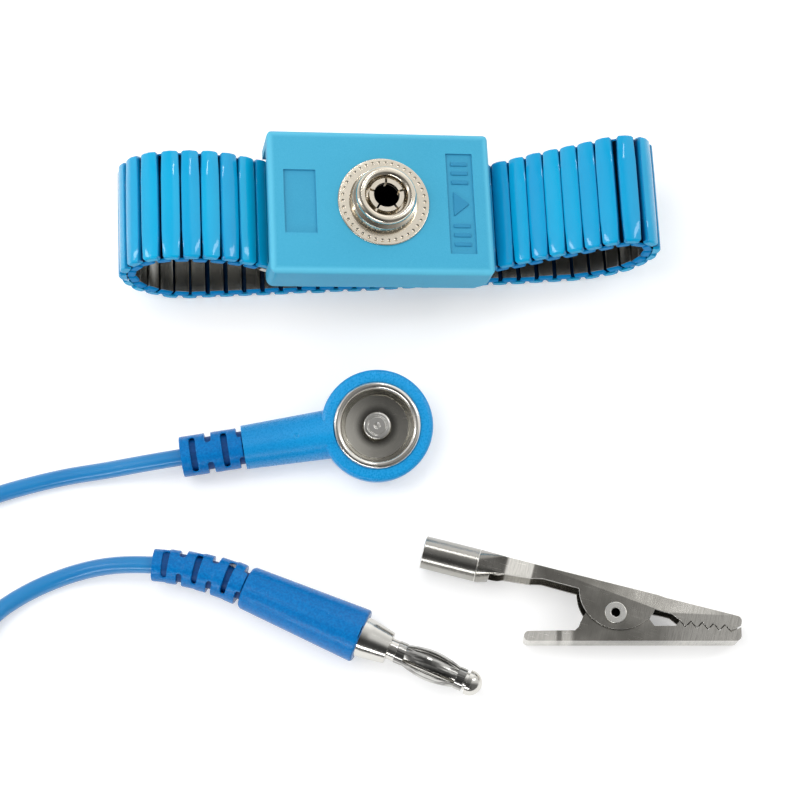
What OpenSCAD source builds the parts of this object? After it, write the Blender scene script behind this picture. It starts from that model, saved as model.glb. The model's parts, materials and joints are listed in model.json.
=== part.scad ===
// ESD wrist strap set: an expansion wristband with a snap buckle, a ground cord
// with a snap end and a banana plug, and an alligator clip that fits the plug.

/* [Band] */
// Width of the band across the wrist
band_w = 18.4; // [16:0.1:18.6]
// Number of links in the outer row
link_count = 52; // [48:1:53]
// Depth of a link in the outer row, from the band's middle
outer_h = 1.5; // [1.4:0.05:1.7]
// Depth of a link in the inner row, from the band's middle
inner_h = 1.45; // [1.35:0.05:1.5]
// Gap between neighbouring outer links
link_gap = 0.15; // [0.1:0.01:0.3]
// Gap between the two rows
row_gap = 0.22; // [0.2:0.01:0.3]
// Radius of an outer link's crown
crown_r = 2.6; // [2.3:0.1:4]
// Depth of the flat along the top of the crown
crown_flat = 0.06; // [0.03:0.01:0.1]
// Radius of an outer link's end, where its roof folds down
link_end_r = 0.9; // [0.5:0.05:1]
// Clip across the corners of an outer link, seen from above
link_corner = 0.4; // [0.2:0.05:0.4]
// Width of an inner link where it meets the outer row
inner_root_w = 2.6; // [2.5:0.01:2.65]
// Width of an inner link's face on the wrist
inner_face_w = 2.05; // [1.9:0.01:2.1]
// Chamfer at the ends of an inner link
inner_chamfer = 0.4; // [0.2:0.05:0.6]
// Thickness of the links' sheet
link_sheet = 0.22; // [0.18:0.01:0.23]
// Thickness of a link's end wall
link_end_wall = 0.45; // [0.3:0.05:0.6]
// Thickness of an outer link's roof
link_roof = 0.45; // [0.4:0.01:0.5]

/* [Staples and leaf springs] */
// Width of a staple along the band
staple_w = 0.3; // [0.2:0.01:0.34]
// Thickness of a staple's wire
staple_t = 0.3; // [0.2:0.01:0.32]
// Height of a staple over both legs
staple_h = 1.3; // [1.1:0.02:1.34]
// Length of a staple's legs
staple_leg = 2.9; // [2:0.1:4]
// Gap between a staple and the link's end wall
staple_gap = 0.15; // [0.05:0.01:0.3]
// Length of a leaf spring
leaf_l = 12.4; // [12:0.1:13]
// Width of a leaf spring
leaf_w = 1.4; // [0.8:0.05:1.5]
// Thickness of a leaf spring
leaf_t = 0.1; // [0.06:0.01:0.11]
// Rise of a leaf spring's middle
leaf_bow = 0.12; // [0.05:0.01:0.14]

/* [Buckle] */
// Length of the buckle along the band
buckle_l = 36.8; // [36:0.1:40]
// Width of the buckle
buckle_w = 24.6; // [24:0.1:28]
// Height of the buckle's cover
buckle_h = 6.7; // [6.5:0.1:8]
// Tilt of the buckle as the band holds it, right end down
tilt = 9.6; // [8:0.1:11]
// Radius of the cover's upright corners
corner_r = 1.3; // [0.5:0.1:2]
// Radius of the cover's top edges
top_r = 0.8; // [0.3:0.05:1]
// Thickness of the cover's side walls
cover_wall = 1.2; // [1:0.05:1.4]
// Thickness of the cover's top
cover_top = 1.4; // [1.2:0.05:1.6]
// Size of the lift chamfer under the right end
lift_chamfer = 2.4; // [2.2:0.1:3]
// Height of the lip over the band's slot in the left end
slot_lip = 1.8; // [1.6:0.1:2]
// Length of the left recess along the buckle
mark_l_len = 5.2; // [3:0.1:6]
// Width of the left recess across the buckle
mark_l_w = 10.9; // [6:0.1:16]
// Place of the left recess, from the middle
mark_l_x = -13.2; // [-13.8:0.1:-12]
// Length of the right recess along the buckle
mark_r_len = 4.4; // [3:0.1:5]
// Width of the right recess across the buckle
mark_r_w = 17.5; // [8:0.1:19]
// Place of the right recess, from the middle
mark_r_x = 13.3; // [12:0.1:14]
// Depth of both recesses
mark_depth = 0.4; // [0.2:0.05:0.6]
// Thickness of the tray's floor and walls
tray_wall = 1.0; // [0.8:0.05:1.2]
// Gap between the tray and the cover
tray_gap = 0.3; // [0.2:0.05:0.4]
// Thickness of the skin plate
plate_t = 0.8; // [0.6:0.05:1]
// Diameter of the cover's hinge pin
hinge_d = 1.0; // [0.8:0.05:1.2]
// Distance of the hinge from the cover's left end
hinge_in = 2.4; // [2.4:0.1:2.8]
// Height of the hinge above the cover's lower edge
hinge_z = 1.7; // [1.5:0.1:1.9]
// Diameter of the pins that hold the band's ends
end_pin_d = 1.0; // [0.8:0.05:1.1]
// Outer diameter of the curls round the end pins
end_curl_d = 1.9; // [1.8:0.05:2.1]
// Radial clearance of a pin in its bore
pin_clear = 0.04; // [0.02:0.01:0.08]

/* [Snap socket] */
// Diameter of the flange on the cover
flange_d = 15.1; // [14:0.1:16]
// Thickness of the flange
flange_t = 0.35; // [0.25:0.05:0.5]
// Number of dimples pressed round the flange
dimple_count = 38; // [24:1:44]
// Width of a dimple
dimple_d = 0.6; // [0.4:0.05:0.7]
// Depth of a dimple
dimple_depth = 0.12; // [0.06:0.02:0.16]
// Distance of the dimples' circle from the flange's edge
dimple_in = 0.8; // [0.6:0.05:0.9]
// Diameter of the socket's foot
socket_foot_d = 11.3; // [10.5:0.1:12]
// Diameter of the socket's rim
socket_rim_d = 10; // [9.2:0.1:10.4]
// Height of the socket above the flange
socket_h = 3.3; // [3:0.1:4]
// Diameter of the socket's mouth
socket_mouth_d = 6.6; // [6.3:0.1:7]
// Thickness of the socket's sheet
socket_sheet = 0.4; // [0.3:0.05:0.5]
// Bore of the split spring collar
collar_bore = 4.2; // [4:0.05:4.4]
// Outer diameter of the split spring collar
collar_d = 5.7; // [5.4:0.05:5.9]
// Number of slits in the collar
collar_slits = 5; // [4:1:8]
// Width of a slit
slit_w = 0.35; // [0.2:0.05:0.5]
// Outer diameter of the hollow rivet's barrel
rivet_d = 3.6; // [3.2:0.05:3.8]
// Diameter of the rivet's head inside the cover
rivet_head_d = 8.6; // [7:0.1:9]
// Place of the snap along the buckle
snap_x = 0.4; // [0:0.1:1]

/* [Snap end of the cord] */
// Diameter of the moulded disc
disc_d = 18.3; // [17:0.1:20]
// Height of the disc above the neck's axis
disc_top = 3.6; // [3.2:0.1:4]
// Depth of the domed back below the neck's axis
disc_back = 3.9; // [3.8:0.1:4.2]
// Radius of the disc's edges
disc_r = 0.8; // [0.4:0.1:1]
// Diameter of the metal cup's rim
cup_d = 14.2; // [13.6:0.1:15]
// Width of the cup's rolled rim
cup_rim_w = 1.3; // [0.8:0.05:1.4]
// Diameter of the cup's floor
cup_floor_d = 10.4; // [10:0.1:11]
// Depth of the cup
cup_depth = 3.1; // [2.9:0.1:3.4]
// Thickness of the cup's sheet
cup_sheet = 0.35; // [0.25:0.05:0.45]
// Diameter of the stud's head
stud_head_d = 4.5; // [4.3:0.05:4.7]
// Diameter of the stud's neck
stud_neck_d = 3.9; // [3.6:0.05:4.1]
// Height of the stud above the cup's floor
stud_h = 2.6; // [2.2:0.1:2.8]
// Tilt of the disc towards the front as it lies
disc_tilt = 12; // [8:0.5:15]
// Distance from the disc's middle to the neck's end
neck_l = 22; // [20:0.1:24]
// Diameter of the neck at the disc
neck_d = 8.2; // [7.6:0.1:8.4]
// Diameter of the neck at its end
neck_end_d = 7.2; // [6.8:0.1:7.6]

/* [Strain reliefs] */
// Length of one ring
ring_l = 1.85; // [1.4:0.05:1.9]
// Gap between rings
ring_gap = 0.75; // [0.7:0.05:1.3]
// Rings on the snap end
snap_rings = 4; // [3:1:5]
// Diameter of the rings on the snap end
snap_ring_d = 6.9; // [6.4:0.1:7]
// Rings on the plug
plug_rings = 6; // [5:1:6]
// Diameter of the plug's last ring, at the handle
plug_ring_d = 6.9; // [6.5:0.1:7]
// Diameter of the plug's first ring, at the cord
plug_ring_end_d = 5.5; // [5.3:0.1:6]
// Thickness of the bridges between rings
bridge_t = 0.85; // [0.7:0.05:1]
// Bend of the plug's relief, in degrees
relief_bend = 20; // [10:1:24]
// Gap between the cord and the relief's bore
bore_gap = 0.1; // [0.06:0.01:0.15]

/* [Banana plug] */
// Length of the moulded handle
handle_l = 20.3; // [18:0.1:24]
// Diameter of the handle at the cord
handle_rear_d = 7.1; // [7:0.1:7.6]
// Diameter of the handle at the pin
handle_front_d = 8.8; // [8.4:0.1:9.4]
// Length of the metal collar that shows
plug_collar_l = 4.8; // [4:0.1:6]
// Diameter of the collar at the handle
plug_collar_d = 6.6; // [6:0.1:7]
// Diameter of the collar at the pin
plug_collar_end_d = 5.2; // [4.8:0.1:5.6]
// Diameter of the pin's neck
pin_neck_d = 3.5; // [3.2:0.1:3.7]
// Length of the pin's neck
pin_neck_l = 1.3; // [1:0.1:1.6]
// Diameter of the pin inside the cage
pin_core_d = 2.4; // [2.2:0.05:2.6]
// Length of the spring cage with its end rings
cage_l = 11.6; // [10.6:0.1:12.6]
// Length of each of the cage's end rings
cage_ring_l = 1.3; // [1:0.1:1.6]
// Outer diameter of the cage's end rings
cage_ring_d = 3.7; // [3.5:0.05:3.8]
// Diameter of the cage over its leaves
cage_bulge_d = 5.0; // [4.6:0.05:5.2]
// Thickness of a cage leaf
cage_leaf_t = 0.3; // [0.2:0.02:0.34]
// Number of leaves
cage_leaves = 5; // [4:1:6]
// Width of the slots between leaves
cage_slot_w = 0.8; // [0.5:0.05:1]
// Radial gap between the cage and the pin, so that it can turn
cage_clear = 0.06; // [0.04:0.01:0.1]
// Diameter of the pin's nose
nose_d = 4.1; // [4:0.05:4.3]
// Length of the pin's nose
nose_l = 2.4; // [2:0.1:3]
// Length of the groove behind the nose
nose_groove = 0.45; // [0.3:0.05:0.6]

/* [Alligator clip] */
// Width of the upper jaw over its side plates
upper_w = 5.8; // [5.6:0.1:6.2]
// Width of the lower jaw over its side plates
lower_w = 4.7; // [4.4:0.05:4.8]
// Thickness of the clip's sheet
clip_sheet = 0.45; // [0.4:0.05:0.5]
// Height of the upper jaw's top above the rivet
upper_top = 4.5; // [4.3:0.1:4.9]
// Distance from the rivet to the nose
nose_x = 20; // [19:0.1:21]
// Angle of the upper jaw when the clip is closed
jaw_angle = 14.4; // [13.8:0.1:15]
// Depth of the lower jaw's web below the rivet
lower_bottom = 4.4; // [4.2:0.1:4.8]
// Diameter of the barrel for the plug
barrel_d = 5.3; // [5.1:0.05:5.5]
// Bore of the barrel
barrel_bore = 4.2; // [4.1:0.05:4.3]
// Length of the barrel's round part
barrel_l = 9.6; // [9:0.1:11]
// Distance from the rivet to the barrel's mouth
barrel_x = 32.2; // [31.5:0.1:34]
// Radius of the ears round the rivet
ear_r = 6.5; // [6:0.1:6.8]
// Pitch of the teeth
tooth_pitch = 1.8; // [1.6:0.05:2.4]
// Height of the teeth
tooth_h = 1.0; // [0.8:0.05:1.2]
// Gap between the closed jaws
jaw_gap = 0.25; // [0.2:0.05:0.4]
// Reach of the thumb pad behind the side plates
pad_l = 8.2; // [7:0.1:9]
// Height of the thumb pad's side walls
pad_h = 1.7; // [1.4:0.1:1.9]
// Diameter of the rivet's barrel
clip_rivet_d = 2.2; // [2:0.05:2.4]
// Through hole of the rivet
clip_rivet_hole = 1.4; // [1.2:0.05:1.5]
// Diameter of the rivet's heads
clip_head_d = 3.5; // [3.2:0.1:4]
// Thickness of the rivet's heads
clip_head_t = 0.4; // [0.3:0.05:0.5]
// Diameter of the jaw spring's wire
spring_wire = 0.5; // [0.4:0.05:0.5]
// Mean diameter of the jaw spring's curls
spring_d = 3.2; // [3.1:0.05:3.4]
// Curls of the jaw spring
spring_curls = 3.5; // [3.5:1:4.5]

/* [Cord] */
// Diameter of the cord
cord_d = 2.8; // [2.6:0.1:2.9]
// Turns of the coiled length
coil_turns = 13.5; // [9.5:1:13.5]
// Radius of the coil's outermost turn
coil_r = 25; // [24:0.5:26]
// Step between neighbouring turns, and between layers
coil_step = 3.3; // [3.25:0.01:3.4]

/* [Hidden] */

PAINT = [0.11, 0.62, 0.84];
PLASTIC = [0.29, 0.69, 0.85];
RUBBER = [0.10, 0.48, 0.80];
NICKEL = [0.80, 0.80, 0.78];
STEEL = [0.42, 0.42, 0.40];

// Fineness of round forms that stay true curves, and of hulled ones.
$fn = 48;
HULL_FN = 32;
// A cut runs this far past the face that it opens.
CUT = 1;

// Places of the three things that lie side by side, from the middle of the set.
STRAP_AT = [-5.65, 30.3];
CLIP_AT = [28.6, -36.8];
CLIP_TURN = -2.7;
// The snap end lies on its domed back. The dome's circle passes through the lowest
// point and the lower edge of the disc's side.
DISC_SIDE = 0.6;
DOME_R = (pow(disc_d / 2, 2) + pow(disc_back - DISC_SIDE, 2)) / (2 * (disc_back - DISC_SIDE));
SNAP_END_AT = [-8, -3.8, DOME_R - (DOME_R - disc_back) * cos(disc_tilt)];
SNAP_END_TURN = 6.5;
PLUG_AT = [-30.15, -29.5, 4.4];
PLUG_TURN = -26;

// ---------------------------------------------------------------- band curve
// The band's middle surface, seen from the front, starts under the buckle's left
// end and runs round to its right end. It is a chain of arcs and straights, each
// [length, turn in degrees]; the two straights take the lengths that close the
// loop on the buckle.
START_HEADING = 132;
LEFT_ARCS = [[17.3, 48], [12, 90], [16.9, 90]];
RIGHT_ARCS = [[10.6, 33], [11, 57], [8.5, 116]];
// Where the band's middle surface meets the buckle's ends, in the buckle's frame.
END_X = buckle_l / 2 - 0.5;
HINGE_X = buckle_l / 2 - hinge_in;
END_DROP = buckle_h + 0.8;

function tilted(x, z) = [x * cos(tilt) + z * sin(tilt), -x * sin(tilt) + z * cos(tilt)];

// p is [x, z, heading, distance along the band].
function step_on(p, seg) =
  let (l = seg[0], a = seg[1], h = p[2])
  abs(a) < 0.001
    ? [p[0] + l * cos(h), p[1] + l * sin(h), h, p[3] + l]
    : let (r = l / (a * PI / 180))
      [p[0] + r * (sin(h + a) - sin(h)), p[1] - r * (cos(h + a) - cos(h)), h + a, p[3] + l];
function walk(p, segs, i = 0) = i == len(segs) ? p : walk(step_on(p, segs[i]), segs, i + 1);

// The buckle hangs so high that the lowest run of the band lies at z = 0.
LEFT_END = tilted(-END_X, -END_DROP);
RIGHT_END = tilted(END_X, -END_DROP);
LEFT_FALL = walk([0, 0, START_HEADING, 0], LEFT_ARCS)[1];
TOP_Z = outer_h - LEFT_FALL - LEFT_END[1];
BAND_START = [LEFT_END[0], LEFT_END[1] + TOP_Z, START_HEADING, 0];
NO_RUN = walk(BAND_START, concat(LEFT_ARCS, RIGHT_ARCS));
UPPER_RUN = (RIGHT_END[1] + TOP_Z - NO_RUN[1]) / sin(NO_RUN[2]);
LOWER_RUN = RIGHT_END[0] - NO_RUN[0] - UPPER_RUN * cos(NO_RUN[2]);
BAND = concat(LEFT_ARCS, [[LOWER_RUN, 0]], RIGHT_ARCS, [[UPPER_RUN, 0]]);
KNOTS = [for (i = 0, p = BAND_START; i < len(BAND); p = step_on(p, BAND[i]), i = i + 1) p];
BAND_END = walk(BAND_START, BAND);
BAND_L = BAND_END[3];
PITCH = BAND_L / link_count;
LINK_W = PITCH - link_gap;

function on_band(s) =
  let (
    i = s <= 0 ? 0 : max([for (k = [0 : len(BAND) - 1]) if (KNOTS[k][3] <= s) k]),
    d = s - KNOTS[i][3]
  )
  step_on(KNOTS[i], [d, BAND[i][1] * d / BAND[i][0]]);

// The links ride on five bodies, so that the band can stretch: body 0 is fixed to
// the buckle, 1 and 2 are the left loop, 3 and 4 are the right loop.
BREAKS = [
  0, 2, 5, 15, 20, link_count - 22, link_count - 17, link_count - 7, link_count - 3
];
BREAK_BODY = [0, 1, 2, 1, 0, 3, 4, 3, 0];
function body_of(i) = BREAK_BODY[max([for (k = [0 : len(BREAKS) - 1]) if (BREAKS[k] <= i) k])];
// An inner link j sits between outer links j - 1 and j. Where those part, it goes
// with the one that moves away from the inside of the loop.
function inner_body(j) = j < link_count / 2 ? body_of(j) : body_of(j - 1);
// The pair of bodies that a stretching gap lies between, named by its outer one.
function gap_body(j) = max(body_of(j - 1), body_of(j));

module in_strap() {
  translate([STRAP_AT[0], STRAP_AT[1], 0])
    children();
}
// The buckle's frame: origin in the middle of its top, z out of the top.
module in_buckle() {
  in_strap()
    translate([0, 0, TOP_Z])
      rotate([0, tilt, 0])
        children();
}
// A frame on the band: x along it, y across, z towards the wrist.
module at_band(s) {
  p = on_band(s);
  in_strap()
    translate([p[0], 0, p[1]])
      rotate([0, -p[2], 0])
        children();
}
// A profile drawn across the band (y) and through it (z), as thick as w along it.
module across(w) {
  rotate([90, 0, 90])
    linear_extrude(w, center = true)
      children();
}
// A profile drawn along the band (x) and through it (z), as wide as w across it.
module along(w) {
  rotate([90, 0, 0])
    linear_extrude(w, center = true)
      children();
}

// -------------------------------------------------------------------- links
module outer_section() {
  intersection() {
    translate([-LINK_W / 2, -outer_h])
      square([LINK_W, outer_h - row_gap / 2]);
    translate([0, crown_r - outer_h - crown_flat])
      circle(crown_r);
  }
}
module outer_end_shape() {
  reach = band_w / 2;
  translate([-reach, link_end_r - outer_h])
    square([band_w, outer_h - link_end_r]);
  translate([-reach + link_end_r, -outer_h])
    square([band_w - 2 * link_end_r, outer_h]);
  for (side = [-1, 1])
    translate([side * (reach - link_end_r), link_end_r - outer_h])
      circle(link_end_r);
}
// An outer link's plan, with its corners clipped
module link_plan() {
  half = LINK_W / 2;
  reach = band_w / 2;
  polygon([
    [-half, -reach + link_corner], [-half + link_corner, -reach],
    [half - link_corner, -reach], [half, -reach + link_corner],
    [half, reach - link_corner], [half - link_corner, reach],
    [-half + link_corner, reach], [-half, reach - link_corner]
  ]);
}
module outer_link() {
  difference() {
    intersection() {
      along(band_w) outer_section();
      across(LINK_W) outer_end_shape();
      translate([0, 0, -outer_h])
        linear_extrude(outer_h)
          link_plan();
    }
    translate([-LINK_W / 2 + link_sheet, -band_w / 2 + link_end_wall, link_roof - outer_h])
      cube([LINK_W - 2 * link_sheet, band_w - 2 * link_end_wall, outer_h]);
  }
}
function inner_w(z) =
  inner_root_w + (inner_face_w - inner_root_w) * (z - row_gap / 2) / (inner_h - row_gap / 2);
module inner_section(inset, top) {
  polygon([
    [-inner_w(row_gap / 2) / 2 + inset, row_gap / 2],
    [inner_w(row_gap / 2) / 2 - inset, row_gap / 2],
    [inner_w(top) / 2 - inset, top],
    [-inner_w(top) / 2 + inset, top]
  ]);
}
module inner_link() {
  reach = band_w / 2;
  difference() {
    intersection() {
      along(band_w) inner_section(0, inner_h);
      across(2 * inner_root_w)
        polygon([
          [-reach, 0], [reach, 0], [reach, inner_h - inner_chamfer],
          [reach - inner_chamfer, inner_h], [-reach + inner_chamfer, inner_h],
          [-reach, inner_h - inner_chamfer]
        ]);
    }
    along(band_w - 2 * link_end_wall - 2 * inner_chamfer / 2)
      inner_section(link_sheet, inner_h - link_sheet);
    // the root is open wide enough for the staples
    translate([0, 0, row_gap / 2])
      cube([inner_root_w - 2 * link_sheet - 0.2, band_w - 2 * link_end_wall, STAPLE_ROOM], center = true);
  }
}

// A staple holds an outer and an inner link together at one edge of the band.
STAPLE_ROOM = staple_h + 0.2;
STAPLE_Y = band_w / 2 - link_end_wall - staple_gap;
module staple(side) {
  top = staple_h / 2;
  in_top = top - staple_t;
  tip = STAPLE_Y - staple_leg;
  across(staple_w)
    polygon([
      for (p = [
        [tip, top], [STAPLE_Y, top], [STAPLE_Y, -top], [tip, -top],
        [tip, -in_top], [STAPLE_Y - staple_t, -in_top], [STAPLE_Y - staple_t, in_top],
        [tip, in_top]
      ]) [side * p[0], p[1]]
    ]);
}
// A leaf spring lies in each link and presses on the legs of its staples.
LEAF_GAP = 0.12;
module leaf_spring(side) {
  ys = [for (k = [-2 : 2]) k * leaf_l / 4];
  function rise(y) = staple_h / 2 + LEAF_GAP + leaf_bow * (1 - pow(2 * y / leaf_l, 2));
  across(leaf_w)
    polygon(concat(
      [for (y = ys) [y, side * rise(y)]],
      [for (k = [4 : -1 : 0]) [ys[k], side * (rise(ys[k]) + leaf_t)]]
    ));
}

module outer_links(body) {
  color(PAINT)
    for (i = [0 : link_count - 1])
      if (body_of(i) == body)
        at_band((i + 0.5) * PITCH) outer_link();
}
module inner_links(body) {
  color(STEEL)
    for (j = [1 : link_count - 1])
      if (inner_body(j) == body)
        at_band(j * PITCH) inner_link();
}
module leaf_springs(body) {
  color(NICKEL) {
    for (i = [0 : link_count - 1])
      if (body_of(i) == body)
        at_band((i + 0.5) * PITCH) leaf_spring(-1);
    for (j = [1 : link_count - 1])
      if (inner_body(j) == body)
        at_band(j * PITCH) leaf_spring(1);
  }
}
// Outer link i meets inner link j = i on its left and j = i + 1 on its right.
module staples(body) {
  color(NICKEL)
    for (i = [0 : link_count - 1])
      for (j = [i, i + 1])
        if (j > 0 && j < link_count && body_of(i) == body && inner_body(j) == body)
          at_band((i + 0.25 + (j - i) / 2) * PITCH)
            for (side = [-1, 1]) staple(side);
}
module stretch_staples(body) {
  color(NICKEL)
    for (i = [0 : link_count - 1])
      for (j = [i, i + 1])
        if (j > 0 && j < link_count && body_of(i) != inner_body(j) && gap_body(j) == body)
          at_band((i + 0.25 + (j - i) / 2) * PITCH)
            for (side = [-1, 1]) staple(side);
}

// ---------------------------------------------------- buckle and band's ends
module rounded_plan(l, w, r) {
  for (sx = [-1, 1])
    for (sy = [-1, 1])
      translate([sx * (l / 2 - r), sy * (w / 2 - r)])
        circle(r);
  square([l - 2 * r, w], center = true);
  square([l, w - 2 * r], center = true);
}
// An upright outline with its two upper corners rounded, from z = -h to z = 0.
module rounded_top(w, h, r) {
  translate([-w / 2, -h])
    square([w, h - r]);
  translate([-w / 2 + r, -h])
    square([w - 2 * r, h]);
  for (side = [-1, 1])
    translate([side * (w / 2 - r), -r])
      circle(r);
}
BAND_SLOT_W = band_w + 1.2;
SNAP_HOLE_D = rivet_d + 2 * pin_clear;
module buckle_cover() {
  inner_l = buckle_l - 2 * cover_wall;
  inner_w = buckle_w - 2 * cover_wall;
  color(PLASTIC)
    in_buckle()
      difference() {
        intersection() {
          translate([0, 0, -buckle_h])
            linear_extrude(buckle_h) rounded_plan(buckle_l, buckle_w, corner_r);
          along(buckle_w) rounded_top(buckle_l, buckle_h, top_r);
          across(buckle_l) rounded_top(buckle_w, buckle_h, top_r);
        }
        translate([-inner_l / 2, -inner_w / 2, -buckle_h - CUT])
          cube([inner_l, inner_w, buckle_h - cover_top + CUT]);
        // slot for the band in the left end, and the lift chamfer under the right end
        translate([-buckle_l / 2 - CUT, -BAND_SLOT_W / 2, -buckle_h - CUT])
          cube([cover_wall + 2 * CUT, BAND_SLOT_W, buckle_h - slot_lip + CUT]);
        along(buckle_w + 2 * CUT)
          polygon([
            [buckle_l / 2 - lift_chamfer, -buckle_h], [buckle_l / 2 - lift_chamfer, -buckle_h - CUT],
            [buckle_l / 2 + CUT, -buckle_h - CUT], [buckle_l / 2 + CUT, -buckle_h + lift_chamfer + CUT]
          ]);
        // recesses in the top
        translate([mark_l_x - mark_l_len / 2, -mark_l_w / 2, -mark_depth])
          cube([mark_l_len, mark_l_w, mark_depth + CUT]);
        translate([mark_r_x - mark_r_len / 2, -mark_r_w / 2, -mark_depth])
          cube([mark_r_len, mark_r_w, mark_depth + CUT]);
        // hole for the snap's rivet, and blind holes for the hinge pin
        translate([snap_x, 0, -cover_top - CUT])
          cylinder(d = SNAP_HOLE_D, h = cover_top + 2 * CUT);
        hinge_axis()
          cylinder(d = hinge_d + 2 * pin_clear, h = HINGE_L + 2 * pin_clear, center = true);
      }
}
// The hinge pin runs from wall to wall, half way into each.
HINGE_L = buckle_w - cover_wall;
module hinge_axis() {
  translate([-HINGE_X, 0, hinge_z - buckle_h])
    rotate([90, 0, 0])
      children();
}
module hinge_pin() {
  color(STEEL)
    in_buckle()
      hinge_axis()
        cylinder(d = hinge_d, h = HINGE_L, center = true);
}

// The tray inside the cover carries the hinge and stands on the skin plate.
TRAY_W = buckle_w - 2 * cover_wall - 2 * tray_gap;
TRAY_LEFT = -HINGE_X + 1.4;
TRAY_RIGHT = buckle_l / 2 - lift_chamfer - tray_gap;
TRAY_TOP = -cover_top - 1.1;
STRIP_X = snap_x + 7.5;
STRIP_W = 4;
module buckle_tray() {
  floor_z = -buckle_h;
  ear_r = hinge_z - 0.6;
  color(PLASTIC)
    in_buckle()
      difference() {
        union() {
          translate([TRAY_LEFT, -TRAY_W / 2, floor_z])
            cube([TRAY_RIGHT - TRAY_LEFT, TRAY_W, TRAY_TOP - floor_z]);
          for (side = [-1, 1])
            translate([0, side * (TRAY_W - tray_wall) / 2, 0])
              hull() {
                hinge_axis() cylinder(r = ear_r, h = tray_wall, center = true, $fn = HULL_FN);
                translate([TRAY_LEFT + 0.5, 0, hinge_z - buckle_h])
                  cube([1, tray_wall, 2 * ear_r], center = true);
              }
        }
        translate([TRAY_LEFT + tray_wall, -TRAY_W / 2 + tray_wall, floor_z + tray_wall])
          cube([TRAY_RIGHT - TRAY_LEFT - 2 * tray_wall, TRAY_W - 2 * tray_wall, buckle_h]);
        hinge_axis()
          cylinder(d = hinge_d + 2 * pin_clear, h = buckle_w, center = true);
        // window through which the contact strip reaches the skin plate
        translate([STRIP_X - 1.5, -STRIP_W / 2 - 0.5, floor_z - CUT])
          cube([4, STRIP_W + 1, tray_wall + 2 * CUT]);
      }
}

// Each end of the band is hooked on a pin in a curled lug of the skin plate.
PIN_BACK = 2.4;
PIN_S = [-PIN_BACK, BAND_L + PIN_BACK];
PLATE_W = band_w + 0.4;
PLATE_X = END_X - 2.6;
HOOK_W = 6;
TONGUE_FROM = 1;
TONGUE_IN = 0.7;
module on_end_pin(s) {
  p = on_band_ends(s);
  in_strap()
    translate([p[0], 0, p[1]])
      rotate([90, 0, 0])
        children();
}
// The band's line run on straight past both of its ends.
function on_band_ends(s) =
  s < 0 ? step_on(BAND_START, [s, 0]) : s > BAND_L ? step_on(BAND_END, [s - BAND_L, 0]) : on_band(s);
module skin_plate() {
  color(STEEL)
    difference() {
      union() {
        in_buckle()
          translate([-PLATE_X, -PLATE_W / 2, -buckle_h - plate_t])
            cube([2 * PLATE_X, PLATE_W, plate_t]);
        for (s = PIN_S)
          on_end_pin(s)
            cylinder(d = end_curl_d, h = PLATE_W, center = true);
        for (side = [-1, 1])
          in_buckle()
            translate([side * (PLATE_X - 0.1), 0, -buckle_h - plate_t - 0.25])
              cube([1.2, PLATE_W, 1.3], center = true);
      }
      for (s = PIN_S) {
        on_end_pin(s)
          cylinder(d = end_pin_d + 2 * pin_clear, h = PLATE_W + CUT, center = true);
        on_end_pin(s)
          cylinder(d = end_curl_d + 0.6, h = HOOK_W + 0.4, center = true);
      }
    }
}
module band_end_pins() {
  color(NICKEL)
    for (s = PIN_S)
      on_end_pin(s)
        cylinder(d = end_pin_d, h = PLATE_W, center = true);
}
module band_end_hooks() {
  color(STEEL)
    for (k = [0, 1])
      difference() {
        union() {
          at_end(k) inner_link();
          on_end_pin(PIN_S[k])
            cylinder(d = end_curl_d, h = HOOK_W, center = true);
          // a tongue from the link's wall into the curl's wall
          at_end(k)
            translate([(2 * k - 1) * (PIN_BACK + TONGUE_FROM - TONGUE_IN) / 2, 0, 0.38])
              cube([PIN_BACK - TONGUE_IN - TONGUE_FROM, HOOK_W - 0.3, 0.45], center = true);
        }
        on_end_pin(PIN_S[k])
          cylinder(d = end_pin_d + 2 * pin_clear, h = HOOK_W + CUT, center = true);
      }
}
module at_end(k) {
  p = k == 0 ? BAND_START : BAND_END;
  in_strap()
    translate([p[0], 0, p[1]])
      rotate([0, -p[2], 0])
        children();
}

// ---------------------------------------------------------------- snap socket
module at_snap() {
  in_buckle()
    translate([snap_x, 0, 0])
      children();
}
// Radius of the ball that presses a dimple of this width and depth
DIMPLE_R = (pow(dimple_d / 2, 2) + pow(dimple_depth, 2)) / (2 * dimple_depth);
module snap_flange() {
  color(NICKEL)
    at_snap()
      difference() {
        rotate_extrude() {
          square([flange_d / 2 - flange_t / 2, flange_t]);
          translate([flange_d / 2 - flange_t / 2, flange_t / 2])
            circle(flange_t / 2);
        }
        translate([0, 0, -CUT])
          cylinder(d = SNAP_HOLE_D, h = flange_t + 2 * CUT);
        for (k = [0 : dimple_count - 1])
          rotate([0, 0, k * 360 / dimple_count])
            translate([flange_d / 2 - dimple_in, 0, flange_t + DIMPLE_R - dimple_depth])
              sphere(DIMPLE_R, $fn = 24);
      }
}
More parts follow.
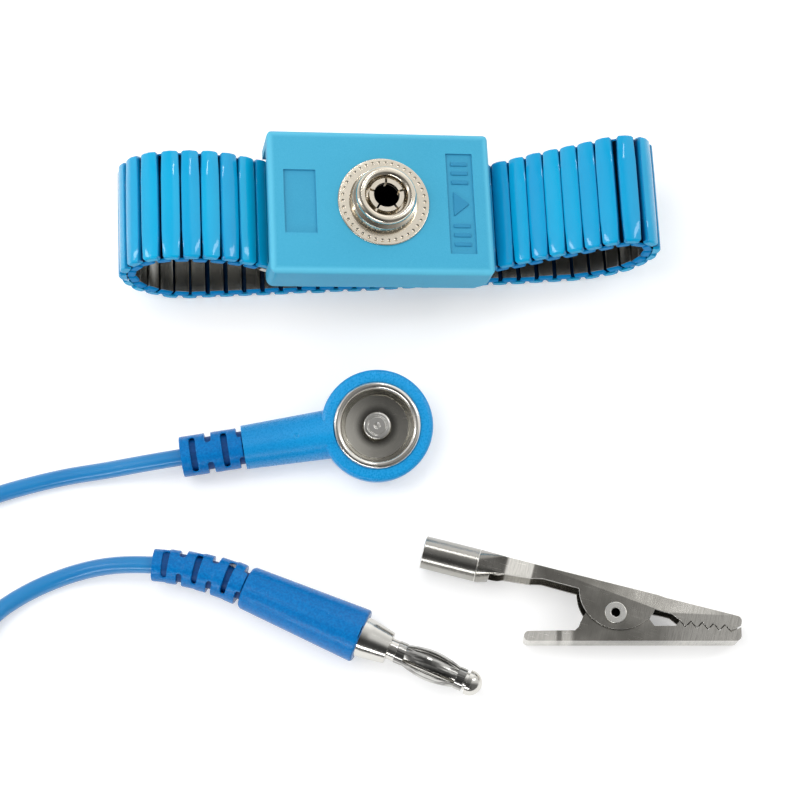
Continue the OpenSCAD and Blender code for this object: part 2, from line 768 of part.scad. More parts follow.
// The socket is one drawn cup: a foot on the flange, a shoulder and a rolled rim.
module socket_outline() {
  rim_r = (socket_rim_d - socket_mouth_d) / 4;
  polygon([
    [rivet_d / 2 + pin_clear, 0], [socket_foot_d / 2, 0], [socket_foot_d / 2, socket_sheet],
    [socket_foot_d / 2 - 0.35, 0.42 * socket_h], [socket_rim_d / 2 - 0.35, 0.5 * socket_h],
    [socket_rim_d / 2 - 0.25, socket_h - rim_r], [socket_mouth_d / 2 + 0.1, socket_h - rim_r],
    [socket_mouth_d / 2 + 0.7, socket_h - rim_r - 0.5], [socket_mouth_d / 2 + 0.7, socket_sheet],
    [rivet_d / 2 + pin_clear, socket_sheet]
  ]);
  translate([(socket_rim_d + socket_mouth_d) / 4, socket_h - rim_r])
    circle(rim_r);
}
module snap_socket() {
  color(NICKEL)
    at_snap()
      translate([0, 0, flange_t])
        rotate_extrude()
          socket_outline();
}
// The rivet's barrel passes the cover, the flange and the socket's floor, and is
// flared over the floor; the collar stands on the flare.
RIVET_TOP = flange_t + socket_sheet;
RIVET_FLARE = 0.25;
RIVET_WALL = 0.35;
module snap_rivet() {
  color(NICKEL)
    at_snap()
      rotate_extrude()
        polygon([
          [rivet_d / 2 - RIVET_WALL, RIVET_TOP + RIVET_FLARE],
          [rivet_d / 2 - RIVET_WALL, -cover_top], [0, -cover_top], [0, -cover_top - RIVET_WALL],
          [rivet_head_d / 2, -cover_top - RIVET_WALL], [rivet_head_d / 2, -cover_top],
          [rivet_d / 2, -cover_top], [rivet_d / 2, RIVET_TOP],
          [collar_d / 2 + 0.5, RIVET_TOP], [collar_d / 2 + 0.5, RIVET_TOP + RIVET_FLARE]
        ]);
}
module snap_spring_collar() {
  base = RIVET_TOP + RIVET_FLARE;
  top = flange_t + socket_h - 0.35;
  color(NICKEL)
    at_snap()
      difference() {
        translate([0, 0, base])
          cylinder(d = collar_d, h = top - base);
        translate([0, 0, base - CUT])
          cylinder(d = collar_bore, h = top);
        for (k = [0 : collar_slits - 1])
          rotate([0, 0, 90 + k * 360 / collar_slits])
            translate([0, -slit_w / 2, base + 0.6])
              cube([collar_d, slit_w, top]);
      }
}
// A spring strip under the rivet's head reaches down to the skin plate.
module contact_strip() {
  t = 0.3;
  under = -cover_top - RIVET_WALL;
  color(STEEL)
    in_buckle()
      along(STRIP_W)
        polygon([
          [snap_x - 3, under], [snap_x - 3, under - t], [STRIP_X - t, under - t],
          [STRIP_X, -buckle_h + 0.1], [STRIP_X + 1.6, -buckle_h + 0.1],
          [STRIP_X + 1.6, -buckle_h + 0.1 + t], [STRIP_X + t, -buckle_h + 0.1 + t],
          [STRIP_X, under]
        ]);
}

// ---------------------------------------------------------------- tube along points
function unit(v) = v / norm(v);
function heading_at(path, i) =
  let (last = len(path) - 1)
  unit(path[min(i + 1, last)] - path[max(i - 1, 0)]);
function ring_at(path, i, r, sides) =
  let (
    t = i == 0 ? unit(path[1] - path[0])
      : i == len(path) - 1 ? unit(path[i] - path[i - 1]) : heading_at(path, i),
    flat = unit(cross(t, [0, 0, 1])),
    up = cross(flat, t)
  )
  [for (k = [0 : sides - 1])
    let (a = (k + 0.5) * 360 / sides)
    path[i] + r * (cos(a) * flat + sin(a) * up)];
// The corners lie on the circle of radius r.
module tube(path, r, sides) {
  n = len(path);
  points = [for (i = [0 : n - 1]) each ring_at(path, i, r, sides)];
  walls = [
    for (i = [0 : n - 2])
      for (k = [0 : sides - 1])
        let (a = i * sides + k, b = i * sides + (k + 1) % sides, c = a + sides, d = b + sides)
        each [[a, b, d], [a, d, c]]
  ];
  first = [for (k = [1 : sides - 2]) [0, k + 1, k]];
  last = (n - 1) * sides;
  end = [for (k = [1 : sides - 2]) [last, last + k, last + k + 1]];
  polyhedron(points, concat(walls, first, end));
}

// -------------------------------------------------------- snap end of the cord
module in_snap_end() {
  translate(SNAP_END_AT)
    rotate([0, 0, SNAP_END_TURN])
      rotate([disc_tilt, 0, 0])
        children();
}
CUP_FLOOR = disc_top - cup_depth;
DISC_STEP_R = cup_d / 2 + 0.05;
NECK_FROM = 6;
// Flat top with a rounded edge, straight side and a domed back.
module disc_outline() {
  r = disc_d / 2;
  intersection() {
    union() {
      translate([0, -disc_back])
        square([r, disc_back + disc_top - disc_r]);
      translate([0, -disc_back])
        square([r - disc_r, disc_back + disc_top]);
      translate([r - disc_r, disc_top - disc_r])
        circle(disc_r);
    }
    translate([0, DOME_R - disc_back])
      circle(DOME_R, $fn = 120);
  }
}
module snap_end_disc() {
  color(RUBBER)
    in_snap_end()
      difference() {
        union() {
          rotate_extrude() disc_outline();
          rotate([0, -90, 0])
            translate([0, 0, NECK_FROM])
              cylinder(d1 = neck_d, d2 = neck_end_d, h = neck_l - NECK_FROM);
        }
        // seat of the cup and of the stud's shank
        rotate_extrude()
          polygon([
            [0, CUP_FLOOR - cup_sheet - 0.02],
            [cup_floor_d / 2 + cup_sheet + 0.02, CUP_FLOOR - cup_sheet - 0.02],
            [cup_d / 2 - cup_rim_w + cup_sheet + 0.02, disc_top - cup_sheet - 0.02],
            [DISC_STEP_R, disc_top - cup_sheet - 0.02], [DISC_STEP_R, disc_top + CUT],
            [0, disc_top + CUT]
          ]);
        translate([0, 0, CUP_FLOOR - cup_sheet - STUD_FOOT_T - 0.05])
          cylinder(d = STUD_FOOT_D + 0.1, h = STUD_FOOT_T + 0.1);
        // room for the resistor and its leads, and bore for the cord
        on_lead(RESISTOR_X - RESISTOR_L / 2 - 0.1)
          cylinder(d = RESISTOR_D + 0.2, h = RESISTOR_L + 0.2);
        on_lead(0)
          cylinder(d = LEAD_D + 0.2, h = neck_l - CORD_GRIP + 0.1);
        rotate([0, -90, 0])
          translate([0, 0, neck_l - CORD_GRIP])
            cylinder(d = cord_d + 2 * bore_gap, h = CORD_GRIP + CUT);
      }
}
module snap_end_cup() {
  lip = cup_d / 2 - cup_rim_w;
  color(NICKEL)
    in_snap_end()
      rotate_extrude() {
        polygon([
          [stud_neck_d / 2 + 0.02, CUP_FLOOR - cup_sheet],
          [cup_floor_d / 2 + cup_sheet, CUP_FLOOR - cup_sheet],
          [lip + cup_sheet, disc_top - cup_sheet], [cup_d / 2, disc_top - cup_sheet],
          [cup_d / 2, disc_top], [lip, disc_top], [cup_floor_d / 2, CUP_FLOOR],
          [stud_neck_d / 2 + 0.02, CUP_FLOOR]
        ]);
        // the rim is rolled over
        translate([cup_d / 2 - cup_rim_w / 2, disc_top])
          intersection() {
            circle(cup_rim_w / 2);
            translate([-cup_rim_w, 0])
              square([2 * cup_rim_w, cup_rim_w]);
          }
      }
}
STUD_FOOT_T = 0.8;
STUD_FOOT_D = 6;
STUD_EDGE_R = 0.3;
STUD_GROOVE_R = 1.4;
module snap_end_stud() {
  head = stud_head_d / 2;
  neck = stud_neck_d / 2;
  top = CUP_FLOOR + stud_h;
  under = CUP_FLOOR - cup_sheet;
  color(NICKEL)
    in_snap_end()
      difference() {
        rotate_extrude() {
          polygon([
            [0, under - STUD_FOOT_T], [STUD_FOOT_D / 2, under - STUD_FOOT_T],
            [STUD_FOOT_D / 2, under],
            [neck, under], [neck, top - 1.6], [head, top - 1.3], [head, top - STUD_EDGE_R],
            [head - STUD_EDGE_R, top], [0, top]
          ]);
          intersection() {
            translate([head - STUD_EDGE_R, top - STUD_EDGE_R])
              circle(STUD_EDGE_R);
            square([head, top]);
          }
        }
        // centre dimple and a shallow groove round it
        translate([0, 0, top - 0.3])
          cylinder(d1 = 0.4, d2 = 1.1, h = 0.31);
        rotate_extrude()
          translate([STUD_GROOVE_R, top - 0.14])
            square([0.22, 0.2]);
      }
}
RESISTOR_X = 14;
RESISTOR_L = 6.3;
RESISTOR_D = 2.4;
LEAD_D = 0.6;
LEAD_DROP = 0.35;
CORD_GRIP = 3;
module on_lead(x) {
  translate([-x, 0, -LEAD_DROP])
    rotate([0, -90, 0])
      children();
}
module resistor() {
  color([0.75, 0.62, 0.42])
    in_snap_end()
      union() {
        on_lead(RESISTOR_X - RESISTOR_L / 2)
          cylinder(d = RESISTOR_D, h = RESISTOR_L);
        // leads to the stud and to the cord
        on_lead(STUD_FOOT_D / 2 + 0.05)
          cylinder(d = LEAD_D, h = neck_l - CORD_GRIP - STUD_FOOT_D / 2 - 0.1);
      }
}

// ------------------------------------------------------------- strain reliefs
// Two bridges join a ring to the next piece, at the sides or above and below.
BRIDGE_IN = 0.2;
module bridges(d, from, to, turned) {
  intersection() {
    for (side = [-1, 1])
      rotate([0, 0, turned ? 90 : 0])
        translate([-0.26 * d, side * (d / 2 - bridge_t / 2) - bridge_t / 2, from])
          cube([0.52 * d, bridge_t, to - from]);
    cylinder(d = d - 0.02, h = to + 1);
  }
}
RING_STEP = ring_l + ring_gap;
SNAP_RELIEF_L = snap_rings * RING_STEP;
module snap_end_relief() {
  color(RUBBER)
    in_snap_end()
      rotate([0, -90, 0])
        translate([0, 0, neck_l + SNAP_RELIEF_L])
          mirror([0, 0, 1])
            difference() {
              for (k = [0 : snap_rings - 1])
                translate([0, 0, k * RING_STEP]) {
                  cylinder(d = snap_ring_d, h = ring_l);
                  bridges(
                    snap_ring_d, ring_l - BRIDGE_IN,
                    RING_STEP + (k < snap_rings - 1 ? BRIDGE_IN : 0), k % 2 == 1
                  );
                }
              translate([0, 0, -CUT])
                cylinder(d = cord_d + 2 * bore_gap, h = SNAP_RELIEF_L + 2 * CUT);
            }
}

// --------------------------------------------------------------- banana plug
// The plug's frame: x along the pin, from the rear of the handle.
module in_plug() {
  translate(PLUG_AT)
    rotate([0, 0, PLUG_TURN])
      children();
}
module plug_axis(x) {
  translate([x, 0, 0])
    rotate([0, 90, 0])
      children();
}
// The relief's middle line bends back from the handle along an arc.
PLUG_RELIEF_L = plug_rings * RING_STEP;
RELIEF_R = PLUG_RELIEF_L / (relief_bend * PI / 180);
function relief_turn(d) = relief_bend * d / PLUG_RELIEF_L;
// A frame on that arc, d from the handle, z pointing back along the cord.
module on_relief(d) {
  a = relief_turn(d);
  translate([-RELIEF_R * sin(a), -RELIEF_R * (1 - cos(a)), 0])
    rotate([0, 0, a])
      rotate([0, -90, 0])
        children();
}
function plug_ring_at(k) = plug_ring_d + (plug_ring_end_d - plug_ring_d) * k / (plug_rings - 1);
module plug_relief() {
  color(RUBBER)
    in_plug()
      difference() {
        for (k = [0 : plug_rings - 1]) {
          d = plug_ring_at(k);
          on_relief(k * RING_STEP + ring_gap)
            cylinder(d = d, h = ring_l);
          // the first bridges butt against the handle
          on_relief(k * RING_STEP)
            bridges(d, k == 0 ? 0 : -BRIDGE_IN, ring_gap + BRIDGE_IN, k % 2 == 0);
        }
        // the bore follows the arc
        translate([0, -RELIEF_R, 0])
          rotate([0, 0, 90 - 5])
            rotate_extrude(angle = relief_bend + 10)
              translate([RELIEF_R, 0])
                circle(d = cord_d + 2 * bore_gap);
      }
}
module plug_handle() {
  color(RUBBER)
    in_plug()
      difference() {
        union() {
          plug_axis(0)
            cylinder(d1 = handle_rear_d - 0.6, d2 = handle_rear_d, h = 0.5);
          plug_axis(0.5)
            cylinder(d1 = handle_rear_d, d2 = handle_front_d, h = handle_l - 0.8);
          plug_axis(handle_l - 0.3)
            cylinder(d1 = handle_front_d, d2 = handle_front_d - 0.5, h = 0.3);
        }
        plug_axis(-CUT)
          cylinder(d = cord_d + 2 * bore_gap, h = CORD_GRIP + CUT);
        plug_axis(handle_l - COLLAR_IN - 0.05)
          cylinder(d = plug_collar_d + 0.1, h = COLLAR_IN + CUT);
      }
}
COLLAR_IN = 7;
PIN_FROM = handle_l + plug_collar_l;
module plug_collar() {
  color(NICKEL)
    in_plug()
      difference() {
        union() {
          plug_axis(handle_l - COLLAR_IN)
            cylinder(d = plug_collar_d, h = COLLAR_IN + 0.8);
          plug_axis(handle_l + 0.8)
            cylinder(d1 = plug_collar_d, d2 = plug_collar_end_d, h = plug_collar_l - 0.8);
        }
        plug_axis(PIN_FROM - PIN_IN - 0.05)
          cylinder(d = pin_core_d + 2 * pin_clear, h = PIN_IN + CUT);
      }
}
// The pin: shank in the collar, neck, core under the cage, groove and nose.
PIN_IN = 8;
CAGE_FROM = PIN_FROM + pin_neck_l + 0.05;
NOSE_FROM = CAGE_FROM + cage_l + 0.05;
module plug_pin() {
  nose_r = nose_d / 2;
  color(NICKEL)
    in_plug() {
      plug_axis(PIN_FROM - PIN_IN)
        cylinder(d = pin_core_d, h = NOSE_FROM + nose_groove + 0.2 - PIN_FROM + PIN_IN);
      plug_axis(PIN_FROM)
        cylinder(d = pin_neck_d, h = pin_neck_l);
      plug_axis(NOSE_FROM)
        cylinder(d = pin_core_d + 0.6, h = nose_groove);
      plug_axis(NOSE_FROM + nose_groove)
        rotate_extrude()
          intersection() {
            union() {
              square([nose_r, nose_l - nose_r * 0.85]);
              translate([0, nose_l - nose_r])
                circle(nose_r);
            }
            square([nose_r, nose_l]);
          }
    }
}
// A lantern of spring leaves between two rings, free to turn on the pin.
LEAF_SIDES = 10;
function leaf_at(u) = [
  cage_ring_d / 2 - 0.1 + (cage_bulge_d - cage_ring_d + 0.2) / 2 * sin(180 * u),
  cage_ring_l + u * (cage_l - 2 * cage_ring_l)
];
module plug_cage() {
  bore = pin_core_d / 2 + cage_clear;
  color(NICKEL)
    in_plug()
      plug_axis(CAGE_FROM)
        difference() {
          rotate_extrude()
            polygon(concat(
              [[bore, 0], [cage_ring_d / 2, 0], [cage_ring_d / 2, cage_ring_l]],
              [for (k = [0 : LEAF_SIDES]) leaf_at(k / LEAF_SIDES)],
              [
                [cage_ring_d / 2, cage_l - cage_ring_l], [cage_ring_d / 2, cage_l],
                [bore, cage_l], [bore, cage_l - cage_ring_l]
              ],
              [for (k = [LEAF_SIDES : -1 : 0]) leaf_at(k / LEAF_SIDES) - [cage_leaf_t, 0]],
              [[bore, cage_ring_l]]
            ));
          for (k = [0 : cage_leaves - 1])
            rotate([0, 0, k * 360 / cage_leaves])
              translate([bore - 0.3, -cage_slot_w / 2, cage_ring_l + 0.1])
                cube([cage_bulge_d, cage_slot_w, cage_l - 2 * cage_ring_l - 0.2]);
        }
}

// -------------------------------------------------------------- alligator clip
// The clip lies on its side: its frame has x towards the nose, y up through the
// jaws, z across them, with the rivet on the z axis and half the clip above z = 0.
CLIP_Z = upper_w / 2 + clip_head_t;
module in_clip() {
  translate([CLIP_AT[0], CLIP_AT[1], CLIP_Z])
    rotate([0, 0, CLIP_TURN])
      children();
}
module in_upper_jaw() {
  in_clip()
    rotate([0, 0, -jaw_angle])
      children();
}
// The teeth lie on a line that both jaws share, drawn in the lower jaw's frame.
TOOTH_FROM = 10.2;
TOOTH_LINE_Y = -1.1;
TOOTH_FALL = 0.1;
function tooth_line(x) = TOOTH_LINE_Y - TOOTH_FALL * (x - TOOTH_FROM);
TEETH = floor((nose_x - TOOTH_FROM - 0.3) / tooth_pitch);
function teeth(dy) = [
  for (k = [0 : TEETH - 1])
    for (half = [0, 1])
      let (x = TOOTH_FROM + (k + half / 2) * tooth_pitch)
      [x, tooth_line(x) + dy + (half == 0 ? 0 : -tooth_h)]
];
// Inner faces of the jaws, with the gap that lies between them when closed.
function upper_bite() = teeth(jaw_gap / 2);
function lower_bite() = teeth(-jaw_gap / 2);
function turned(p, a) = [p[0] * cos(a) - p[1] * sin(a), p[0] * sin(a) + p[1] * cos(a)];

NECK_X = -14.4;
JOG_X = 5.9;
WINDOW_Y = 2.2;
module upper_side() {
  difference() {
    union() {
      polygon([
        [NECK_X, upper_top], [NECK_X, upper_top - NECK_FLAT], [-12.4, upper_top - 2],
        [-6.2, upper_top - 2.1], [JOG_X, upper_top - 2.3], [JOG_X, upper_top]
      ]);
      intersection() {
        translate([-0.2, 3.9])
          circle(ear_r);
        translate([-ear_r - 1, 3.9 - ear_r - 1])
          square([JOG_X + ear_r + 1, ear_r + upper_top - 2.9]);
      }
    }
    circle(d = clip_rivet_d + 2 * pin_clear);
  }
}
module upper_front() {
  bite = [for (p = upper_bite()) turned(p, jaw_angle)];
  nose = turned([nose_x, tooth_line(nose_x) + jaw_gap / 2], jaw_angle);
  polygon(concat(
    [[JOG_X + 1, upper_top], [JOG_X + 1, WINDOW_Y], [8.8, WINDOW_Y]],
    bite,
    [nose, [nose[0], upper_top - NOSE_R]],
    [for (a = [30 : 30 : 90]) [nose[0] - NOSE_R + NOSE_R * cos(a), upper_top - NOSE_R + NOSE_R * sin(a)]]
  ));
}
// The web bends round at the nose; up is 1 on the upper jaw and -1 on the lower.
NOSE_R = 0.9;
module nose_bend(x, y, up) {
  translate([x - NOSE_R, y - up * NOSE_R, -lower_w / 2])
    linear_extrude(lower_w)
      intersection() {
        difference() {
          circle(NOSE_R);
          circle(NOSE_R - clip_sheet);
        }
        translate([0, up > 0 ? 0 : -NOSE_R])
          square(NOSE_R);
      }
}
module two_plates(w) {
  for (z = [-w / 2, w / 2 - clip_sheet])
    translate([0, 0, z])
      linear_extrude(clip_sheet)
        children();
}
BARREL_Y = upper_top - barrel_d / 2 + 0.7;
BARREL_END = -barrel_x + barrel_l;
BARREL_SHUT = 0.5;
NECK_FLAT = 2.4;
module clip_upper_jaw() {
  end_x = turned([nose_x, tooth_line(nose_x) + jaw_gap / 2], jaw_angle)[0];
  color(NICKEL)
    in_upper_jaw()
      difference() {
        union() {
          two_plates(upper_w) upper_side();
          two_plates(lower_w) upper_front();
          // top web, wide over the ears and narrow over the teeth
          translate([NECK_X, upper_top - clip_sheet, -upper_w / 2])
            cube([JOG_X - NECK_X, clip_sheet, upper_w]);
          translate([JOG_X, upper_top - clip_sheet, -lower_w / 2])
            cube([end_x - NOSE_R - JOG_X, clip_sheet, lower_w]);
          nose_bend(end_x, upper_top, 1);
          // the side plates jog inwards between the ears and the teeth
          for (side = [-1, 1])
            hull() {
              translate([JOG_X - 0.3, WINDOW_Y, side * (upper_w - clip_sheet) / 2 - clip_sheet / 2])
                cube([0.3, upper_top - WINDOW_Y, clip_sheet]);
              translate([JOG_X + 1, WINDOW_Y, side * (lower_w - clip_sheet) / 2 - clip_sheet / 2])
                cube([0.3, upper_top - WINDOW_Y, clip_sheet]);
            }
          // flattened neck between the channel and the barrel
          hull() {
            translate([NECK_X, upper_top - NECK_FLAT, -upper_w / 2])
              cube([0.4, NECK_FLAT, upper_w]);
            translate([NECK_X - 4.6, upper_top - NECK_FLAT - 0.4, -upper_w / 2 - 0.1])
              cube([0.4, NECK_FLAT + 0.4, upper_w + 0.2]);
          }
          hull() {
            translate([NECK_X - 4.6, upper_top - NECK_FLAT - 0.4, -upper_w / 2 - 0.1])
              cube([0.4, NECK_FLAT + 0.4, upper_w + 0.2]);
            translate([BARREL_END - BARREL_SHUT, BARREL_Y, 0])
              rotate([0, 90, 0])
                cylinder(d = barrel_d, h = BARREL_SHUT, $fn = HULL_FN);
          }
        }
        // the neck is hollow underneath
        translate([BARREL_END + 1.6, -1, -upper_w / 2 + clip_sheet])
          cube([
            NECK_X - BARREL_END - 1.6 + CUT, 1 + upper_top - clip_sheet - 0.5,
            upper_w - 2 * clip_sheet
          ]);
      }
}
// The barrel's round part ends on the shut end of the neck.
module clip_plug_barrel() {
  color(NICKEL)
    in_upper_jaw()
      translate([-barrel_x, BARREL_Y, 0])
        rotate([0, 90, 0])
          difference() {
            cylinder(d = barrel_d, h = barrel_l - BARREL_SHUT);
            translate([0, 0, -CUT])
              cylinder(d = barrel_bore, h = barrel_l + 2 * CUT);
          }
}
PAD_END = -6.4 - pad_l;
PAD_R = 0.8;
module lower_side() {
  bite = lower_bite();
  n = len(bite);
  difference() {
    union() {
      polygon(concat(
        [
          each [for (a = [0 : 30 : 90])
            [nose_x - NOSE_R + NOSE_R * cos(a), -lower_bottom + NOSE_R - NOSE_R * sin(a)]],
          [-6.5, -lower_bottom],
          [-6.5, -2.7], [-5.7, -2], [-5.2, -0.6], [-4.4, 0.5], [-3, 1.6], [3, 1.6],
          [5.2, -0.6], [6.2, -2], [9.6, -2]
        ],
        bite,
        [[nose_x, tooth_line(nose_x) - jaw_gap / 2]]
      ));
      circle(3);
      // low side walls of the thumb pad
      polygon([
        [-6.4, -lower_bottom], [PAD_END + PAD_R, -lower_bottom],
        [PAD_END + PAD_R, -lower_bottom + 2 * PAD_R], [-6.4, -lower_bottom + pad_h]
      ]);
      translate([PAD_END + PAD_R, -lower_bottom + PAD_R])
        circle(PAD_R);
    }
    circle(d = clip_rivet_d + 2 * pin_clear);
  }
}
module clip_lower_jaw() {
  web = nose_x - NOSE_R - PAD_END - PAD_R;
  color(NICKEL)
    in_clip() {
      two_plates(lower_w) lower_side();
      translate([PAD_END + PAD_R, -lower_bottom, -lower_w / 2])
        cube([web, clip_sheet, lower_w]);
      nose_bend(nose_x, -lower_bottom, -1);
      // rolled end of the pad
      translate([PAD_END + PAD_R, -lower_bottom + PAD_R, 0])
        cylinder(r = PAD_R, h = lower_w, center = true);
    }
}
module clip_rivet() {
  color(NICKEL)
    in_clip()
      difference() {
        union() {
          cylinder(d = clip_rivet_d, h = upper_w + 0.1, center = true);
          for (side = [-1, 1])
            translate([0, 0, side * (upper_w / 2 + clip_head_t / 2)])
              cylinder(d = clip_head_d, h = clip_head_t, center = true);
        }
        cylinder(d = clip_rivet_hole, h = 2 * upper_w, center = true);
      }
}
// The jaw spring: curls round the rivet, one leg under the upper jaw's web and
// one on the lower jaw's web.
SPRING_RINGS = 8;
SPRING_RISE = spring_wire + 0.15;
function spring_path() =
  let (
    n = round(spring_curls * SPRING_RINGS),
    r = spring_d / 2,
    z0 = -spring_curls * SPRING_RISE / 2,
    leg = [for (k = [0 : n])
      let (a = 90 + k * 360 / SPRING_RINGS)
      [r * cos(a), r * sin(a), z0 + k * SPRING_RISE / SPRING_RINGS]]
  )
  concat([[4.6, r + 0.2, z0], [2.2, r + 0.05, z0]], leg, [[2.2, -r - 0.05, -z0], [5.2, -r - 1, -z0]]);
module clip_spring() {
  color(STEEL)
    in_clip()
      rotate([0, 0, -jaw_angle / 2])
        tube(spring_path(), spring_wire / 2, 6);
}

// ---------------------------------------------------------------------- cord
// A point in the neck of the snap end, and one in the plug's handle or relief.
function in_neck(d) = SNAP_END_AT - d * [cos(SNAP_END_TURN), sin(SNAP_END_TURN), 0];
function from_plug(p) = PLUG_AT + [
  p[0] * cos(PLUG_TURN) - p[1] * sin(PLUG_TURN), p[0] * sin(PLUG_TURN) + p[1] * cos(PLUG_TURN), 0
];
function in_relief(d) =
  let (a = relief_turn(d))
  from_plug([-RELIEF_R * sin(a), -RELIEF_R * (1 - cos(a))]);
// Routes of the free stretches, in the frame of the set. Each starts in the grip
// of its moulding and runs out through the strain relief.
SNAP_ROUTE = concat(
  [in_neck(neck_l - CORD_GRIP + 0.05), in_neck(neck_l + SNAP_RELIEF_L + 0.5)],
  [
    [-46.5, -8.1, 3.5], [-52.5, -8.6, 2.2], [-59, -9.2, 1.5], [-65, -10.3, 1.4],
    [-71, -11.8, 1.4], [-78, -14.2, 1.4], [-85, -16.8, 1.4], [-92, -19.3, 1.4],
    [-98.4, -21, 1.4], [-101.2, -21, 1.4]
  ]
);
PLUG_ROUTE = concat(
  [from_plug([CORD_GRIP - 0.05, 0]), from_plug([0, 0])],
  [for (k = [1 : 4]) in_relief(k * PLUG_RELIEF_L / 4)],
  [
    [-51, -24.8, 3.5], [-56, -25.1, 2.1], [-61, -26.3, 1.4], [-66, -28.4, 1.4],
    [-70.6, -31.5, 2], [-73.6, -35.5, 3], [-75, -40.5, 4.2], [-75.2, -46, 5.6],
    [-76.4, -53.4, 7.1], [-79.5, -60.2, 8.5], [-84.6, -65.4, 9.7],
    [-91, -69.2, 10.7], [-98.4, -71, 11.3], [-101.2, -71, 11.3]
  ]
);
// The coil winds in and out in four layers, climbing a layer in the half turn
// round each place where the spiral reverses.
COIL_AT = [-104, -46];
LAYERS = 4;
LOOP_RINGS = 24;
LAYER_TURNS = coil_turns / LAYERS;
function smooth(x) = let (t = min(1, max(0, x))) t * t * (3 - 2 * t);
function coil_radius(t) =
  let (k = floor(t / LAYER_TURNS), part = t - k * LAYER_TURNS)
  coil_r - coil_step * (k % 2 == 0 ? part : LAYER_TURNS - part);
function coil_height(t) =
  let (steps = [for (k = [1 : LAYERS - 1]) smooth((t - k * LAYER_TURNS) * 2 + 0.5)])
  cord_d / 2 + coil_step * (steps * [1, 1, 1]);
function coil_point(t) = [
  COIL_AT[0] + coil_radius(t) * cos(90 + 360 * t),
  COIL_AT[1] + coil_radius(t) * sin(90 + 360 * t),
  coil_height(t)
];
COIL_N = coil_turns * LOOP_RINGS;
COIL_PATH = concat(
  [[COIL_AT[0] + cord_d, COIL_AT[1] + coil_r, cord_d / 2]],
  [for (k = [0 : COIL_N]) coil_point(k / LOOP_RINGS)],
  [[COIL_AT[0] + cord_d, COIL_AT[1] - coil_r, cord_d / 2 + (LAYERS - 1) * coil_step]]
);
// The least gap between points of the coil that lie half a turn or more apart.
COIL_GAP = min([
  for (i = [0 : COIL_N - LOOP_RINGS / 2])
    for (j = [i + LOOP_RINGS / 2 : min(COIL_N, i + 2.5 * LOOP_RINGS * LAYER_TURNS)])
      norm(COIL_PATH[i + 1] - COIL_PATH[j + 1])
]) - cord_d;
function run_length(path) = [for (i = [1 : len(path) - 1]) norm(path[i] - path[i - 1])]
  * [for (i = [1 : len(path) - 1]) 1];

module snap_cord() {
  color(RUBBER)
    tube(SNAP_ROUTE, cord_d / 2, 8);
}
module plug_cord() {
  color(RUBBER)
    tube(PLUG_ROUTE, cord_d / 2, 8);
}
module cord_coil() {
  echo(coil_gap = COIL_GAP, coil_length = run_length(COIL_PATH),
       snap_cord = run_length(SNAP_ROUTE), plug_cord = run_length(PLUG_ROUTE));
  color(RUBBER)
    tube(COIL_PATH, cord_d / 2, 6);
}

buckle_cover();
snap_flange();
snap_socket();
snap_spring_collar();
snap_rivet();
contact_strip();
buckle_tray();
skin_plate();
hinge_pin();
band_end_pins();
band_end_hooks();
outer_links(0);  // outer_links_fixed
inner_links(0);  // inner_links_fixed
staples(0);  // staples_fixed
leaf_springs(0);  // leaf_springs_fixed
outer_links(1);  // outer_links_left_1
inner_links(1);  // inner_links_left_1
staples(1);  // staples_left_1
leaf_springs(1);  // leaf_springs_left_1
outer_links(2);  // outer_links_left_2
inner_links(2);  // inner_links_left_2
staples(2);  // staples_left_2
leaf_springs(2);  // leaf_springs_left_2
outer_links(3);  // outer_links_right_1
inner_links(3);  // inner_links_right_1
staples(3);  // staples_right_1
leaf_springs(3);  // leaf_springs_right_1
outer_links(4);  // outer_links_right_2
inner_links(4);  // inner_links_right_2
staples(4);  // staples_right_2
leaf_springs(4);  // leaf_springs_right_2
stretch_staples(1);  // stretch_staples_left_1
stretch_staples(2);  // stretch_staples_left_2
stretch_staples(3);  // stretch_staples_right_1
stretch_staples(4);  // stretch_staples_right_2
clip_upper_jaw();
clip_plug_barrel();
clip_lower_jaw();
clip_rivet();
clip_spring();
snap_end_disc();
snap_end_cup();
snap_end_stud();
snap_end_relief();
resistor();
plug_handle();
plug_relief();
plug_collar();
plug_pin();
plug_cage();
snap_cord();
plug_cord();
cord_coil();
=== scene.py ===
"""The looks of an ESD wrist strap set: wristband, ground cord and alligator clip."""
import json
import math

import bmesh
import bpy
from mathutils import Matrix, Vector


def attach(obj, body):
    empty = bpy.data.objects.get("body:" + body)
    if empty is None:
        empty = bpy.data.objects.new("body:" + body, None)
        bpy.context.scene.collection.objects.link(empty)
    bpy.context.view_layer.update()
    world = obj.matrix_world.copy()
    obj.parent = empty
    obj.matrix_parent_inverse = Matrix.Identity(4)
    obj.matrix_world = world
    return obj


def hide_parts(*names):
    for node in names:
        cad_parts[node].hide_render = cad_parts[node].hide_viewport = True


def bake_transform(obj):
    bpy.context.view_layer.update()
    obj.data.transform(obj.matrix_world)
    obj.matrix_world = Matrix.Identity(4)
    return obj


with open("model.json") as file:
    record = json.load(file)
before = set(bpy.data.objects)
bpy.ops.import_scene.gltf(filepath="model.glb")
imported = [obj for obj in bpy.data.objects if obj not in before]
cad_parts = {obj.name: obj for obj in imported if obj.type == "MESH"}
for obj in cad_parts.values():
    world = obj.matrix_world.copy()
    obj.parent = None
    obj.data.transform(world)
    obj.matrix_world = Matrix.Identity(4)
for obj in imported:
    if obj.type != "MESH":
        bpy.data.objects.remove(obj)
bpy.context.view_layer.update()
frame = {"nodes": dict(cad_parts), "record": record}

MM = 0.001

# ------------------------------------------------------------------------- camera
scene = bpy.context.scene
scene.view_settings.view_transform = "Standard"


